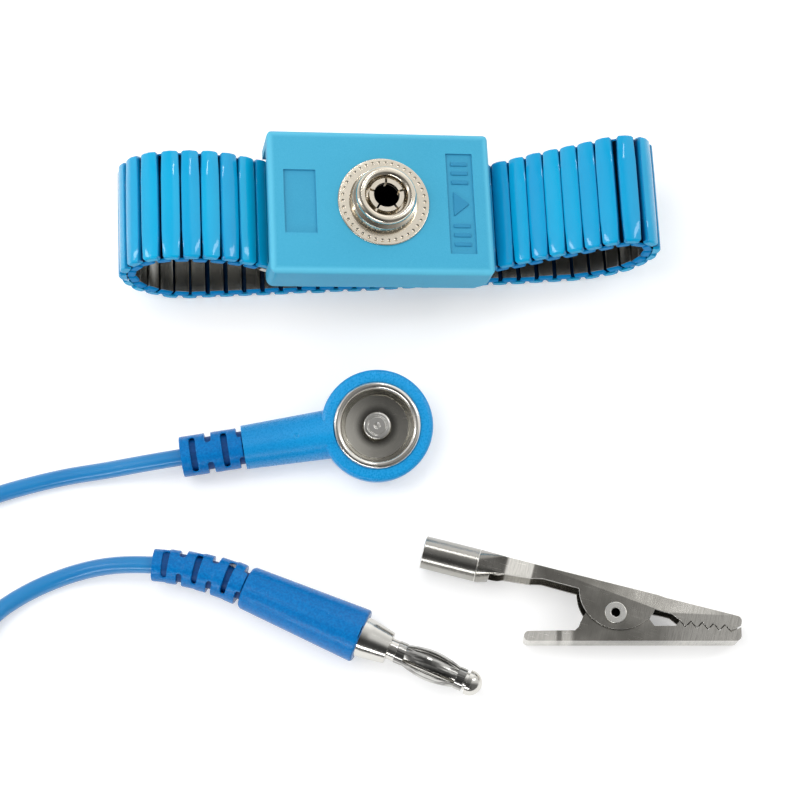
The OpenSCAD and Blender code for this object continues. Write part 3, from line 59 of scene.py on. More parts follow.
def add(name, data):
    """A new object in the scene, at the origin."""
    made = bpy.data.objects.new(name, data)
    scene.collection.objects.link(made)
    return made


def aim(obj, at, ahead, right):
    """Puts obj at a point, looking ahead, with its right side along right."""
    back = -Vector(ahead).normalized()
    side = Vector(right).normalized()
    turn = Matrix((side, back.cross(side), back)).transposed()
    obj.matrix_world = Matrix.Translation(at) @ turn.to_4x4()


CAMERA_AT = (-8.53, -95.97, 341.25)
CAMERA_AHEAD, CAMERA_RIGHT = (0.013, 0.2753, -0.9613), (0.99889, -0.04711, 0)
SENSOR_W, LENS = 36, 95.85
camera = add("camera", bpy.data.cameras.new("camera"))
camera.data.sensor_width, camera.data.lens = SENSOR_W, LENS
camera.data.clip_start, camera.data.clip_end = 0.01, 5
aim(camera, Vector(CAMERA_AT) * MM, CAMERA_AHEAD, CAMERA_RIGHT)
scene.camera = camera


# -------------------------------------------------------------- places and sizes
def rad(angle):
    return math.radians(angle)


def placed(at, turn=0.0, lean=0.0, roll=0.0):
    """A frame at a point in mm, turned about z, then leant about x or rolled about y."""
    return (
        Matrix.Translation(Vector(at) * MM)
        @ Matrix.Rotation(rad(turn), 4, "Z")
        @ Matrix.Rotation(rad(lean), 4, "X")
        @ Matrix.Rotation(rad(roll), 4, "Y")
    )


# The wristband: where its buckle is, and the route of its links as arcs that are each
# a length and a turn. All lengths are in mm and all angles in degrees.
STRAP_AT = (-5.65, 30.3)
TILT = 9.6
BUCKLE_L, BUCKLE_W, BUCKLE_H = 36.8, 24.6, 6.7
BAND_W, LINKS = 18.4, 52
OUTER_H, INNER_H, ROW_GAP = 1.5, 1.45, 0.22
START_HEADING = 132
LEFT_ARCS = [(17.3, 48), (12, 90), (16.9, 90)]
RIGHT_ARCS = [(10.6, 33), (11, 57), (8.5, 116)]
# the band's ends at the buckle's hooks, from the middle of its top
END_X, END_DROP = BUCKLE_L / 2 - 0.5, BUCKLE_H + 0.8
# the link with which each stretch of the band starts, and the body that stretch rides on
BREAKS = [0, 2, 5, 15, 20, 30, 35, 45, 49]
BREAK_BODY = [
    "fixed", "left_1", "left_2", "left_1", "fixed", "right_1", "right_2", "right_1", "fixed",
]


def tilted(x, z):
    """A point of the buckle, turned with it."""
    c, s = math.cos(rad(TILT)), math.sin(rad(TILT))
    return x * c + z * s, z * c - x * s


def step_on(p, length, turn):
    """The point, heading and distance after an arc; p is (x, z, heading, distance)."""
    x, z, heading, way = p
    a, b = rad(heading), rad(heading + turn)
    if abs(turn) < 1e-3:
        return x + length * math.cos(a), z + length * math.sin(a), heading, way + length
    r = length / rad(turn)
    return (
        x + r * (math.sin(b) - math.sin(a)),
        z - r * (math.cos(b) - math.cos(a)),
        heading + turn,
        way + length,
    )


def walk(p, arcs):
    """The knots between arcs, from p on."""
    knots = [p]
    for length, turn in arcs:
        knots.append(step_on(knots[-1], length, turn))
    return knots


def close_band():
    """The height of the buckle's top, the band's arcs and the knots between them."""
    left, right = tilted(-END_X, -END_DROP), tilted(END_X, -END_DROP)
    fall = walk((0, 0, START_HEADING, 0), LEFT_ARCS)[-1][1]
    top = OUTER_H - fall - left[1]
    start = (left[0], left[1] + top, START_HEADING, 0)
    x, z, heading, _ = walk(start, LEFT_ARCS + RIGHT_ARCS)[-1]
    upper = (right[1] + top - z) / math.sin(rad(heading))
    lower = right[0] - x - upper * math.cos(rad(heading))
    arcs = LEFT_ARCS + [(lower, 0)] + RIGHT_ARCS + [(upper, 0)]
    return top, arcs, walk(start, arcs)


TOP_Z, ARCS, KNOTS = close_band()
PITCH = KNOTS[-1][3] / LINKS


def on_band(way):
    """The point, heading and distance at a distance along the band."""
    k = max(i for i in range(len(ARCS)) if i == 0 or KNOTS[i][3] <= way)
    length, turn = ARCS[k]
    d = way - KNOTS[k][3]
    return step_on(KNOTS[k], d, turn * d / length)


def at_band(way):
    """A frame on the band: x along it, y across it, z towards the wrist."""
    x, z, heading, _ = on_band(way)
    return (
        Matrix.Translation(Vector((STRAP_AT[0] + x, STRAP_AT[1], z)) * MM)
        @ Matrix.Rotation(rad(-heading), 4, "Y")
    )


def body_of(i):
    """The body that carries outer link i."""
    return BREAK_BODY[max(k for k, b in enumerate(BREAKS) if b <= i)]


def inner_body(j):
    """The body that carries the inner link before outer link j."""
    return body_of(j) if j < LINKS / 2 else body_of(j - 1)


BUCKLE = placed((*STRAP_AT, TOP_Z), roll=TILT)
# the snap end's disc lies tilted on its domed back
DISC_D, DISC_BACK, DISC_TILT = 18.3, 3.9, 12
DISC_RISE = DISC_BACK - 0.6
DOME_R = ((DISC_D / 2) ** 2 + DISC_RISE**2) / (2 * DISC_RISE)
SNAP_AT = (-8, -3.8, DOME_R - (DOME_R - DISC_BACK) * math.cos(rad(DISC_TILT)))
SNAP_TURN = 6.5
SNAP = placed(SNAP_AT, SNAP_TURN, DISC_TILT)
PLUG_AT, PLUG_TURN = (-30.15, -29.5, 4.4), -26
PLUG = placed(PLUG_AT, PLUG_TURN)
CLIP = placed((28.6, -36.8, 3.3), -2.7)
JAW_ANGLE = 14.4
CORD_D = 2.8
# where the cord starts in its two mouldings, and where it is clear of the snap end's
SNAP_START, PLUG_START, SNAP_CLEAR = 19.05, 2.95, 32.9
NECK_L, RELIEF_STEP, RELIEF_BEND, PLUG_RINGS, SNAP_RINGS = 22, 2.6, 20, 6, 4
RELIEF_L = PLUG_RINGS * RELIEF_STEP
RELIEF_R = RELIEF_L / rad(RELIEF_BEND)


# ------------------------------------------------------------------ ground cord
def in_neck(d):
    """A point on the axis of the snap end's neck, d from the stud."""
    return Vector(SNAP_AT) - d * Vector((math.cos(rad(SNAP_TURN)), math.sin(rad(SNAP_TURN)), 0))


def in_plug(x, y):
    """A point in the plug's frame."""
    return (PLUG @ Vector((x * MM, y * MM, 0))) / MM


def in_relief(d):
    """A point on the bent axis of the plug's strain relief."""
    a = rad(RELIEF_BEND) * d / RELIEF_L
    return in_plug(-RELIEF_R * math.sin(a), RELIEF_R * (math.cos(a) - 1))


SNAP_ROUTE = [in_neck(SNAP_START), in_neck(SNAP_CLEAR)] + [Vector(p) for p in (
    (-46.5, -8.1, 3.5), (-52.5, -8.6, 2.2), (-59, -9.2, 1.5), (-65, -10.3, 1.4),
    (-71, -11.8, 1.4), (-78, -14.2, 1.4), (-85, -16.8, 1.4), (-92, -19.3, 1.4),
    (-98.4, -21, 1.4), (-101.2, -21, 1.4),
)]
PLUG_ROUTE = [in_plug(PLUG_START, 0)] + [in_relief(k * RELIEF_L / 4) for k in range(5)]
PLUG_ROUTE += [Vector(p) for p in (
    (-51, -24.8, 3.5), (-56, -25.1, 2.1), (-61, -26.3, 1.4), (-66, -28.4, 1.4),
    (-70.6, -31.5, 2), (-73.6, -35.5, 3), (-75, -40.5, 4.2), (-75.2, -46, 5.6),
    (-76.4, -53.4, 7.1), (-79.5, -60.2, 8.5), (-84.6, -65.4, 9.7), (-91, -69.2, 10.7),
    (-98.4, -71, 11.3), (-101.2, -71, 11.3),
)]
COIL_AT, COIL_R, COIL_STEP, COIL_TURNS, COIL_LAYERS = (-104, -46), 25, 3.3, 13.5, 4
LAYER_TURNS = COIL_TURNS / COIL_LAYERS


def eased(t):
    """0 to 1, starting and ending level."""
    t = min(1, max(0, t))
    return t * t * (3 - 2 * t)


def in_coil(t):
    """The coil's middle line after t turns: in and out again, up a layer each time."""
    layer = min(int(t / LAYER_TURNS), COIL_LAYERS - 1)
    part = t - layer * LAYER_TURNS
    r = COIL_R - COIL_STEP * (LAYER_TURNS - part if layer % 2 else part)
    climbed = sum(eased((t - LAYER_TURNS * k) * 2 + 0.5) for k in range(1, COIL_LAYERS))
    a = rad(90 + 360 * t)
    return Vector((
        COIL_AT[0] + r * math.cos(a), COIL_AT[1] + r * math.sin(a),
        CORD_D / 2 + COIL_STEP * climbed,
    ))


def smooth_through(points, step):
    """Points about a step apart on a smooth curve through the given ones."""
    made = []
    ends = [2 * points[0] - points[1]] + points + [2 * points[-1] - points[-2]]
    for a, b, c, d in zip(ends, ends[1:], ends[2:], ends[3:]):
        reach = [max(1e-6, (q - p).length) ** 0.5 for p, q in ((a, b), (b, c), (c, d))]
        m = (c - b) + reach[1] * ((b - a) / reach[0] - (c - a) / (reach[0] + reach[1]))
        n = (c - b) + reach[1] * ((d - c) / reach[2] - (d - b) / (reach[1] + reach[2]))
        count = max(1, round((c - b).length / step))
        for i in range(count):
            t = i / count
            made.append(
                b * (2 * t**3 - 3 * t**2 + 1) + m * (t**3 - 2 * t**2 + t)
                + c * (3 * t**2 - 2 * t**3) + n * (t**3 - t**2)
            )
    return made + [points[-1]]


CORD_STEP = 1.6
# the coil's knots leave room at both ends for the cord to run in and out
COIL_SHARES, COIL_LEAD, COIL_STRIDE = 840, 12, 14
COIL_KNOTS = [
    in_coil(COIL_TURNS * k / COIL_SHARES)
    for k in range(COIL_LEAD, COIL_SHARES + 1 - COIL_LEAD, COIL_STRIDE)
]
cord_line = (
    smooth_through(SNAP_ROUTE, CORD_STEP)[:-1]
    + smooth_through([SNAP_ROUTE[-1]] + COIL_KNOTS + [PLUG_ROUTE[-1]], CORD_STEP)[:-1]
    + smooth_through(PLUG_ROUTE, CORD_STEP)[::-1]
)
CORD_L = sum((q - p).length for p, q in zip(cord_line, cord_line[1:]))


def wire(name, line, radius, roundness):
    """A round wire through points in mm, as a curve."""
    data = bpy.data.curves.new(name, "CURVE")
    data.dimensions = "3D"
    data.bevel_depth = radius * MM
    data.bevel_resolution = roundness
    data.use_fill_caps = True
    spline = data.splines.new("POLY")
    spline.points.add(len(line) - 1)
    for point, at in zip(spline.points, line):
        point.co = (*(at * MM), 1)
    spline.use_smooth = True
    return add(name, data)


ground_cord = wire("ground_cord", cord_line, CORD_D / 2, roundness=5)


# ------------------------------------------------------------------ writing nodes
class Socket:
    """A node's output that sums and products can be written with."""

    def __init__(self, graph, out):
        self.graph, self.out = graph, out

    def maths(self, operation, *values):
        return self.graph.node("ShaderNodeMath", {"operation": operation}, dict(enumerate(values)))

    def __add__(self, other):
        return self.maths("ADD", self, other)

    def __sub__(self, other):
        return self.maths("SUBTRACT", self, other)

    def __rsub__(self, other):
        return self.maths("SUBTRACT", other, self)

    def __mul__(self, other):
        return self.maths("MULTIPLY", self, other)

    def __truediv__(self, other):
        return self.maths("DIVIDE", self, other)

    def __pow__(self, other):
        return self.maths("POWER", self, other)

    def __abs__(self):
        return self.maths("ABSOLUTE", self)

    __radd__, __rmul__ = __add__, __mul__


class Graph:
    """A node tree, emptied, with one method that adds any node."""

    def __init__(self, tree):
        self.tree = tree
        tree.nodes.clear()

    def node(self, kind, settings=None, sockets=None, out=0):
        added = self.tree.nodes.new(kind)
        for name, value in (settings or {}).items():
            setattr(added, name, value)
        for key, value in (sockets or {}).items():
            if isinstance(value, Socket):
                self.tree.links.new(value.out, added.inputs[key])
            else:
                added.inputs[key].default_value = value
        return Socket(self, added.outputs[out]) if len(added.outputs) else added

    def between(self, value, low, high):
        """0 below low and 1 above high, with a smooth rise."""
        return self.node("ShaderNodeMapRange", {"interpolation_type": "SMOOTHSTEP"}, {
            "Value": value, "From Min": low, "From Max": high,
        })


def colour(red, green, blue):
    """A display colour, 0 to 255, as linear values."""
    linear = [
        c / 12.92 if c <= 0.04045 else ((c + 0.055) / 1.055) ** 2.4
        for c in (red / 255, green / 255, blue / 255)
    ]
    return (*linear, 1)


class Finish(Graph):
    """A material with one Principled shader; names of sockets are the shader's own."""

    def __init__(self, name, constants):
        self.material = bpy.data.materials.new(name)
        self.material.use_nodes = True
        super().__init__(self.material.node_tree)
        self.shader = self.tree.nodes.new("ShaderNodeBsdfPrincipled")
        output = self.tree.nodes.new("ShaderNodeOutputMaterial")
        self.tree.links.new(self.shader.outputs[0], output.inputs[0])
        self.set(constants)
        self.place = self.node("ShaderNodeTexCoord", out="Object")

    def set(self, values):
        """Gives the shader's sockets constants or links."""
        for key, value in values.items():
            if isinstance(value, Socket):
                self.tree.links.new(value.out, self.shader.inputs[key])
            else:
                self.shader.inputs[key].default_value = value

    def within(self, at, stretch=(1, 1, 1)):
        """Object coordinates in a piece's own frame, stretched along its axes."""
        centred = self.node("ShaderNodeMapping", {"vector_type": "TEXTURE"}, {
            "Vector": self.place, "Location": at.translation, "Rotation": at.to_euler(),
        })
        return self.stretched(centred, stretch)

    def stretched(self, vector, scale, turn=(0, 0, 0)):
        """A vector scaled along its axes and turned, which draws noise out into lines."""
        return self.node("ShaderNodeMapping", None, {
            "Vector": vector, "Rotation": turn, "Scale": scale,
        })

    def axes(self, vector):
        """A vector's x, y and z in mm."""
        return [
            self.node("ShaderNodeSeparateXYZ", None, {"Vector": vector}, out=axis) / MM
            for axis in "XYZ"
        ]

    def across(self, x, y):
        """The distance from an axis."""
        return (x * x + y * y) ** 0.5

    def noise(self, vector, per_mm, detail=2.0, roughness=0.5):
        return self.node("ShaderNodeTexNoise", None, {
            "Vector": vector, "Scale": per_mm / MM, "Detail": detail, "Roughness": roughness,
        })

    def mix(self, share, a, b):
        return self.node("ShaderNodeMix", {"data_type": "RGBA"}, {0: share, 6: a, 7: b}, out=2)

    def attribute(self, name):
        return self.node("ShaderNodeAttribute", {"attribute_name": name}, out="Fac")

    def bump(self, height, depth, strength=1.0):
        """Relief whose height, 0 to 1, is worth depth in mm."""
        self.set({"Normal": self.node("ShaderNodeBump", None, {
            "Height": height, "Distance": depth * MM, "Strength": strength,
        })})


# ----------------------------------------------------------------- floor and light
# half the floor's side, and how far it lies below the set, in mm
FLOOR_REACH, FLOOR_DROP = 1600, 0.02


def make_floor():
    """White paper under the set, a hair below it."""
    paper = bpy.data.materials.new("paper")
    paper.use_nodes = True
    graph = Graph(paper.node_tree)
    seen = graph.node("ShaderNodeLightPath", out="Is Camera Ray")
    mirrored = graph.node("ShaderNodeLightPath", out="Is Glossy Ray")
    lit = graph.node("ShaderNodeBsdfDiffuse", None, {"Color": (0.8, 0.8, 0.8, 1)})
    glow = graph.node("ShaderNodeEmission", None, {
        "Color": (1, 1, 1, 1), "Strength": seen * 0.36 + mirrored * 0.3,
    })
    both = graph.node("ShaderNodeAddShader", None, {0: lit, 1: glow})
    graph.node("ShaderNodeOutputMaterial", None, {"Surface": both})
    data = bpy.data.meshes.new("floor")
    corners = ((-1, -1), (1, -1), (1, 1), (-1, 1))
    data.from_pydata(
        [Vector((x * FLOOR_REACH, y * FLOOR_REACH, -FLOOR_DROP)) * MM for x, y in corners],
        [], [(0, 1, 2, 3)],
    )
    data.materials.append(paper)
    floor = add("floor", data)


def make_studio():
    """The room round the set, dim overhead and in front, and pale to the right, left and back."""
    world = bpy.data.worlds.new("studio")
    scene.world = world
    world.use_nodes = True
    graph = Graph(world.node_tree)
    seen = graph.node("ShaderNodeLightPath", out="Is Camera Ray")
    way = graph.node("ShaderNodeTexCoord", out="Generated")
    x, y = (
        graph.node("ShaderNodeSeparateXYZ", None, {"Vector": way}, out=axis) for axis in "XY"
    )
    pale = (
        0.2 + graph.between(x, -0.02, 0.36) * 0.6 + graph.between(x * -1, 0.25, 0.75) * 0.5
        + graph.between(y, 0.5, 0.85) * 0.5
    )
    mirrored = graph.node("ShaderNodeLightPath", out="Is Glossy Ray")
    strength = pale * (1 - graph.between(y * -1, 0.0, 0.45) * mirrored * 0.8)
    sky = graph.node("ShaderNodeBackground", None, {
        "Color": (1, 1, 1, 1), "Strength": strength + seen * (1 - strength),
    })
    graph.node("ShaderNodeOutputWorld", None, {"Surface": sky})


def lamp(name, at, to, size, power, mirrored=True):
    """A rectangular lamp in mm and watts, which polished parts may mirror."""
    data = bpy.data.lights.new(name, "AREA")
    data.shape = "RECTANGLE"
    data.size, data.size_y = size[0] * MM, size[1] * MM
    data.energy = power
    made = add(name, data)
    made.location = Vector(at) * MM
    made.rotation_euler = (Vector(to) - Vector(at)).to_track_quat("-Z", "Y").to_euler()
    made.visible_glossy = mirrored


make_floor()
make_studio()
lamp("overhead", (-150, 70, 400), (-5, 0, 0), (330, 260), 0.76, mirrored=False)
lamp("glint", (70, 255, 400), (-5, 20, 10), (26, 90), 0.09)
lamp("left_strip", (-400, 60, 300), (-10, 0, 0), (40, 300), 0.22)
lamp("right_strip", (330, 90, 330), (0, 0, 0), (50, 260), 0.2)
lamp("front_card", (-230, -410, 190), (0, 0, 0), (480, 60), 0.7)


# ----------------------------------------------------------------------- finishes
def enamel():
    """Glossy enamel on pressed links, with painted shade on their shoulders and on their sides in
    the gaps, and light wear specks on the shoulders.
    """
    f = Finish("link_enamel", {"Coat Roughness": 0.04, "IOR": 1.52, "Specular IOR Level": 0.1})
    tone, edge, root = f.attribute("tone"), f.attribute("edge"), f.attribute("root")
    cloud = f.noise(f.place, 0.12, 3)
    off = abs(f.axes(f.place)[1] - STRAP_AT[1])
    cap = f.between(off, BAND_W / 2 - 0.25, BAND_W / 2 - 0.05)
    speck = f.between(f.noise(f.place, 2.4, 3, 0.6), 0.66, 0.74)
    shade = f.mix(tone * 0.6 + cloud * 0.5, colour(0, 150, 206), colour(6, 176, 222))
    # painted shade: the shoulders darkened towards deep blue
    shade = f.mix(f.between(edge, 0.3, 1) * 0.5, shade, colour(0, 100, 168))
    # painted shade: the sides below the face, in the gaps between links, darkened to dark navy
    shade = f.mix(f.between(root, 0.1, 0.7), shade, colour(4, 58, 106))
    f.set({
        "Base Color": f.mix(speck * edge * 0.5, shade, colour(90, 190, 230)),
        "Roughness": 0.16 + f.noise(f.place, 0.7, 4) * 0.1,
        "Coat Weight": (0.9 - speck * 0.4) * (1 - cap),
    })
    f.bump(f.noise(f.place, 0.7, 2) + f.noise(f.place, 5, 2) * 0.08, 0.02, 0.5)
    return f.material


def polished_link():
    """Bright stainless links, ground across, with enamel on their end faces."""
    f = Finish("inner_link_steel", {"Specular IOR Level": 0.1, "IOR": 1.2})
    paint, tone, root = f.attribute("paint"), f.attribute("tone"), f.attribute("root")
    lines = f.noise(f.stretched(f.place, (1, 0.04, 1)), 14, 3, 0.7)
    smudge = f.noise(f.place, 0.3, 4, 0.6)
    painted = f.between(paint + f.noise(f.place, 3, 2) * 0.3, 0.55, 0.75)
    steel = f.mix(smudge * 0.7 + tone * 0.3, colour(150, 149, 145), colour(204, 203, 198))
    shade = f.mix(painted, steel, colour(12, 132, 196))
    # painted shade: the roots of the links, in the gaps between them, darkened to dark navy
    f.set({
        "Base Color": f.mix(f.between(root, 0.1, 0.7), shade, colour(6, 34, 60)),
        "Metallic": 1 - painted,
        "Roughness": 0.12 + lines * 0.12 + smudge * 0.08 + painted * 0.08,
    })
    f.bump(lines + smudge * 0.3, 0.008, 0.6)
    return f.material


def cover_rub_and_painted_light(f, shade):
    """The cover's top edges lightened, a painted highlight that also stands for rubbing, and
    painted shade on the recesses' walls and floors.
    """
    x, y, z = f.axes(f.within(BUCKLE))
    end, side = (
        f.between(abs(off), half - 1.3, half - 0.5)
        for off, half in ((x, BUCKLE_L / 2), (y, BUCKLE_W / 2))
    )
    rim = end.maths("MAXIMUM", end, side)
    wall = f.between(z, -0.03, -0.1) * (1 - f.between(z, -0.34, -0.38))
    floor = f.between(z, -0.3, -0.38) * (1 - f.between(z, -0.5, -0.7))
    # painted shade in the recesses: walls darkened, floors a little darker
    shade = f.mix((wall * 0.55 + floor * 0.22) * (1 - rim), shade, colour(20, 110, 160))
    # the top edges lightened: a painted highlight, and partly rubbed plastic
    return f.mix(rim * f.between(z, -0.9, -0.2) * 0.5, shade, colour(112, 208, 236))


def moulded_plastic(
    name, lit, dark, grain, shine, at, marks=None, gloss=0.3, gate=None, depth=0.012,
):
    """Moulded plastic with spark-eroded grain and flow marks. A gate, the place (x, y) where the
    mould was fed, comes with a neck that darkens away from the disc towards the darker rings,
    partly as painted shade."""
    f = Finish(name, {"IOR": 1.48, "Specular IOR Level": gloss})
    flow = f.noise(f.within(at, (0.25, 1, 1)), 0.16, 3, 0.6)
    grit = f.noise(f.place, 9 * grain, 4, 0.65)
    dust = f.between(f.noise(f.place, 1.7, 4, 0.7), 0.68, 0.78)
    lit = f.mix(dust * 0.25, lit, colour(190, 220, 235))
    shade = f.mix(flow * 0.5 + f.between(grit, 0.38, 0.62) * 0.5, dark, lit)
    height = grit + flow * 0.5
    if gate:
        x, y, z = f.axes(f.within(at))
        # partly painted shade: the neck darkened away from the disc towards the darker rings
        shade = f.mix(f.between(x, -9, -20) * 0.25, shade, colour(0, 108, 176))
        near = 1 - f.between(f.across(x - gate[0], y - gate[1]), 0.2, 0.5)
        height = height - near * f.between(z, 0, 1) * 5
    f.set({
        "Base Color": marks(f, shade) if marks else shade,
        "Roughness": shine + grit * 0.16 + dust * 0.1,
    })
    f.bump(height, depth / grain, 0.55)
    return f.material


def nickel(
    name, at, tint=(205, 203, 197), rings=True, rub=0.5, base=0.12, hollow=None, extra=None,
):
    """Nickel plate; turned pieces carry fine rings about their own axis, pressed ones are brushed
    across. A hollow is (x, radius, lowest z, highest z), in mm; its inside is painted near black
    as painted shade deep in the bore. extra adds a piece's own marks, and for some pieces painted
    highlights and shade, to the shade and the relief."""
    f = Finish(name, {"Metallic": 1.0})
    local = f.within(at)
    if rings:
        wave = f.noise(f.stretched(local, (0, 0, 1)), 11, 3)
    else:
        wave = f.noise(f.stretched(local, (1, 0.05, 0.05)), 7, 3, 0.7)
    smear = f.noise(local, 0.35, 4, 0.6)
    slanted = f.stretched(local, (0.05, 1, 1), turn=(0.3, 0.5, 0.9))
    scratch = f.between(f.noise(slanted, 3.2, 3, 0.75), 0.6, 0.72)
    shade = f.mix(smear * 0.8, colour(*tint), colour(*[min(255, c + 28) for c in tint]))
    height = wave * 0.5 + scratch * -0.4 * rub + smear * 0.2
    x, y, z = f.axes(local)
    if extra:
        shade, height = extra(f, (x, y, z), shade, height, wave)
    rough = base + smear * 0.14 * rub + scratch * 0.18 * rub + wave * 0.06
    if hollow:
        # painted shade: the inside of the bore darkened to near black and made rough
        middle, radius, low, high = hollow
        inside = 1 - f.between(f.across(x - middle, y), radius, radius + 0.06)
        deep = inside * f.between(z, high, high - 0.5) * f.between(z, low - 0.5, low)
        shade = f.mix(deep, shade, colour(8, 8, 9))
        rough = rough + deep * 0.8
    f.set({"Base Color": shade, "Roughness": rough})
    f.bump(height, 0.006, 0.5)
    return f.material


def brushed_sheet(f, at, shade, height, wave):
    """The clip's pressed sheet: brush lines, dull patches, and painted highlights on the neck, the
    nose and the thumb pad.
    """
    x = at[0]
    patch = f.between(f.noise(f.place, 0.13, 3, 0.55) + wave * 0.2, 0.45, 0.75)
    shade = f.mix((1 - patch) * 0.6, shade, colour(104, 102, 96))
    # painted highlights: the neck, the nose and the thumb pad lightened towards white
    neck = f.between(x, -18.9, -18.3) * f.between(x, -14.1, -14.5)
    along, up, _ = f.axes(f.within(CLIP))
    pad = f.between(along, -6.4, -7.4) * f.between(up, -2, -3)
    pad = pad * (1 - f.between(along, -9.6, -9.2) * f.between(along, -8.4, -8.8) * 0.9)
    shade = f.mix((neck + f.between(x, 5.5, 12) * 0.7 + pad) * 0.8, shade, colour(244, 241, 234))
    # the neck and pad made less metallic, which brightens them further as painted highlight
    f.set({"Metallic": 1 - neck * 0.75 - pad * 0.35})
    return f.mix(f.between(wave, 0.4, 0.65) * 0.3, shade, colour(92, 90, 84)), height * 0.6


def sprung_leaf(f, at, shade, height, wave):
    """The lantern's leaves, drawn along the pin."""
    drawn = f.noise(f.within(PLUG_TURNED, (1, 1, 0.03)), 2.2, 2)
    shade = f.mix(f.between(drawn, 0.42, 0.62) * 0.7, shade, colour(58, 57, 55))
    return shade, height + drawn


def pressed_cup(f, at, shade, height, wave):
    """The cup's sheet: a dished floor, painted shade round the stud, and painted highlights on its
    rolled rim.
    """
    x, y, z = at
    away = f.across(x, y)
    # painted shade: the floor darkened round the stud
    shade = f.mix(f.between(away, 3.9, 2.5) * 0.75, shade, colour(34, 32, 30))
    # painted highlight: the top of the rim lightened
    shade = f.mix(f.between(z, 3.4, 3.65), shade, colour(246, 241, 232))
    # painted highlight: a bright band round the rim
    shade = f.mix(f.between(away, 5.9, 6.3) * 0.8, shade, colour(246, 243, 236))
    return shade, height + away * away * 3.4


def cord_jacket():
    """Soft vinyl over the wire: glossy, with a faint lay and handling marks."""
    f = Finish("cord_jacket", {
        "IOR": 1.5, "Coat Roughness": 0.12, "Subsurface Weight": 0.12,
        "Subsurface Radius": (0.3, 0.6, 1.0), "Subsurface Scale": 0.8 * MM,
    })
    cloud = f.noise(f.place, 0.09, 3)
    grit = f.noise(f.place, 4, 3, 0.6)
    scuff = f.between(f.noise(f.place, 0.6, 5, 0.7), 0.6, 0.72)
    f.set({
        "Base Color": f.mix(cloud, colour(16, 116, 180), colour(32, 136, 196)),
        "Roughness": 0.26 + grit * 0.1 + scuff * 0.16,
        "Coat Weight": 0.45 - scuff * 0.3,
    })
    f.bump(grit + f.noise(f.place, 0.5, 2) * 0.8, 0.012, 0.5)
    return f.material


def spring_wire():
    """Spring steel, drawn across the band and a little stained."""
    f = Finish("spring_steel", {"Metallic": 1.0})
    drawn = f.noise(f.stretched(f.place, (1, 0.06, 1)), 12, 3)
    stain = f.noise(f.place, 0.5, 4)
    f.set({
        "Base Color": f.mix(stain, colour(150, 148, 142), colour(205, 203, 196)),
        "Roughness": 0.2 + drawn * 0.15 + stain * 0.1,
    })
    f.bump(drawn, 0.006, 0.5)
    return f.material


def lacquer():
    """A resistor's beige lacquer with its colour bands."""
    f = Finish("resistor_lacquer", {"IOR": 1.5})
    along = f.axes(f.within(SNAP))[0]
    shade = f.mix(f.noise(f.place, 1.5, 3), colour(205, 176, 128), colour(224, 200, 156))
    bands = (
        (-15.9, colour(96, 56, 28)), (-14.9, colour(20, 20, 20)),
        (-13.9, colour(40, 130, 60)), (-12.3, colour(190, 150, 60)),
    )
    for x, band in bands:
        shade = f.mix(1 - f.between(abs(along - x), 0.24, 0.3), shade, band)
    f.set({"Base Color": shade, "Roughness": 0.3 + f.noise(f.place, 4, 2) * 0.1})
    f.bump(f.noise(f.place, 2, 3), 0.01, 0.4)
    return f.material


CLIP_FACE = CLIP @ Matrix.Rotation(rad(-JAW_ANGLE), 4, "Z")
PLUG_TURNED = PLUG @ Matrix.Rotation(rad(90), 4, "Y")
# the bores whose insides are painted near black as shade
SOCKET_BORE, RIVET_BORE = (0.4, 2.15, -3.5, 2.8), (0, 0.72, -9, 9)
GATE_AT = (-13.2, 0.4)
FINISHES = {
    "abs": moulded_plastic(
        "buckle_plastic", colour(72, 176, 210), colour(56, 160, 198), 0.8, 0.38, BUCKLE,
        marks=cover_rub_and_painted_light,
    ),
    "link_paint": enamel(),
    "link_steel": polished_link(),
    "spring_steel": spring_wire(),
    "snap_nickel": nickel("snap_nickel", BUCKLE, tint=(220, 211, 194), hollow=SOCKET_BORE),
    "cup_nickel": nickel("cup_nickel", SNAP, tint=(196, 193, 184), base=0.14, extra=pressed_cup),
    "stud_nickel": nickel("stud_nickel", SNAP, tint=(228, 226, 221), base=0.22),
    "plug_nickel": nickel("plug_nickel", PLUG_TURNED, base=0.1),
    "lantern_nickel": nickel(
        "lantern_nickel", PLUG_TURNED, tint=(190, 189, 185), base=0.08, extra=sprung_leaf,
    ),
    "clip_steel": nickel(
        "clip_steel", CLIP_FACE, tint=(176, 173, 166), rings=False, rub=0.8, base=0.14,
        hollow=RIVET_BORE, extra=brushed_sheet,
    ),
    "clip_tube": nickel("clip_tube", CLIP_FACE, tint=(166, 164, 158), rings=False, base=0.17),
    "rivet_head": nickel(
        "rivet_head", CLIP_FACE, tint=(232, 230, 224), base=0.2, hollow=RIVET_BORE,
    ),
    "clip_edge": nickel(
        "clip_edge", CLIP_FACE, tint=(226, 224, 218), rings=False, rub=0.2, base=0.24,
    ),
    "overmould": moulded_plastic(
        "snap_end_rubber", colour(8, 158, 222), colour(0, 134, 200), 0.4, 0.2, SNAP,
        gloss=0.5, gate=GATE_AT, depth=0.018,
    ),
    "handle_rubber": moulded_plastic(
        "handle_rubber", colour(2, 126, 198), colour(0, 94, 164), 0.3, 0.12, PLUG,
        gloss=0.28, depth=0.03,
    ),
    # the sleeves' dark blue is painted shade in the slots between the rings
    "relief_core_painted_shade": moulded_plastic(
        "relief_core_painted_shade", colour(0, 78, 142), colour(0, 60, 116), 0.3, 0.4, SNAP,
    ),
    "cord": cord_jacket(),
    "resistor": lacquer(),
}
SLOTS = {row["node"]: row["material_slot"] for row in frame["record"]["subparts"]}
BODIES = {
    node: body
    for body, nodes in frame["record"]["behaviour"]["bodies"].items() for node in nodes
}


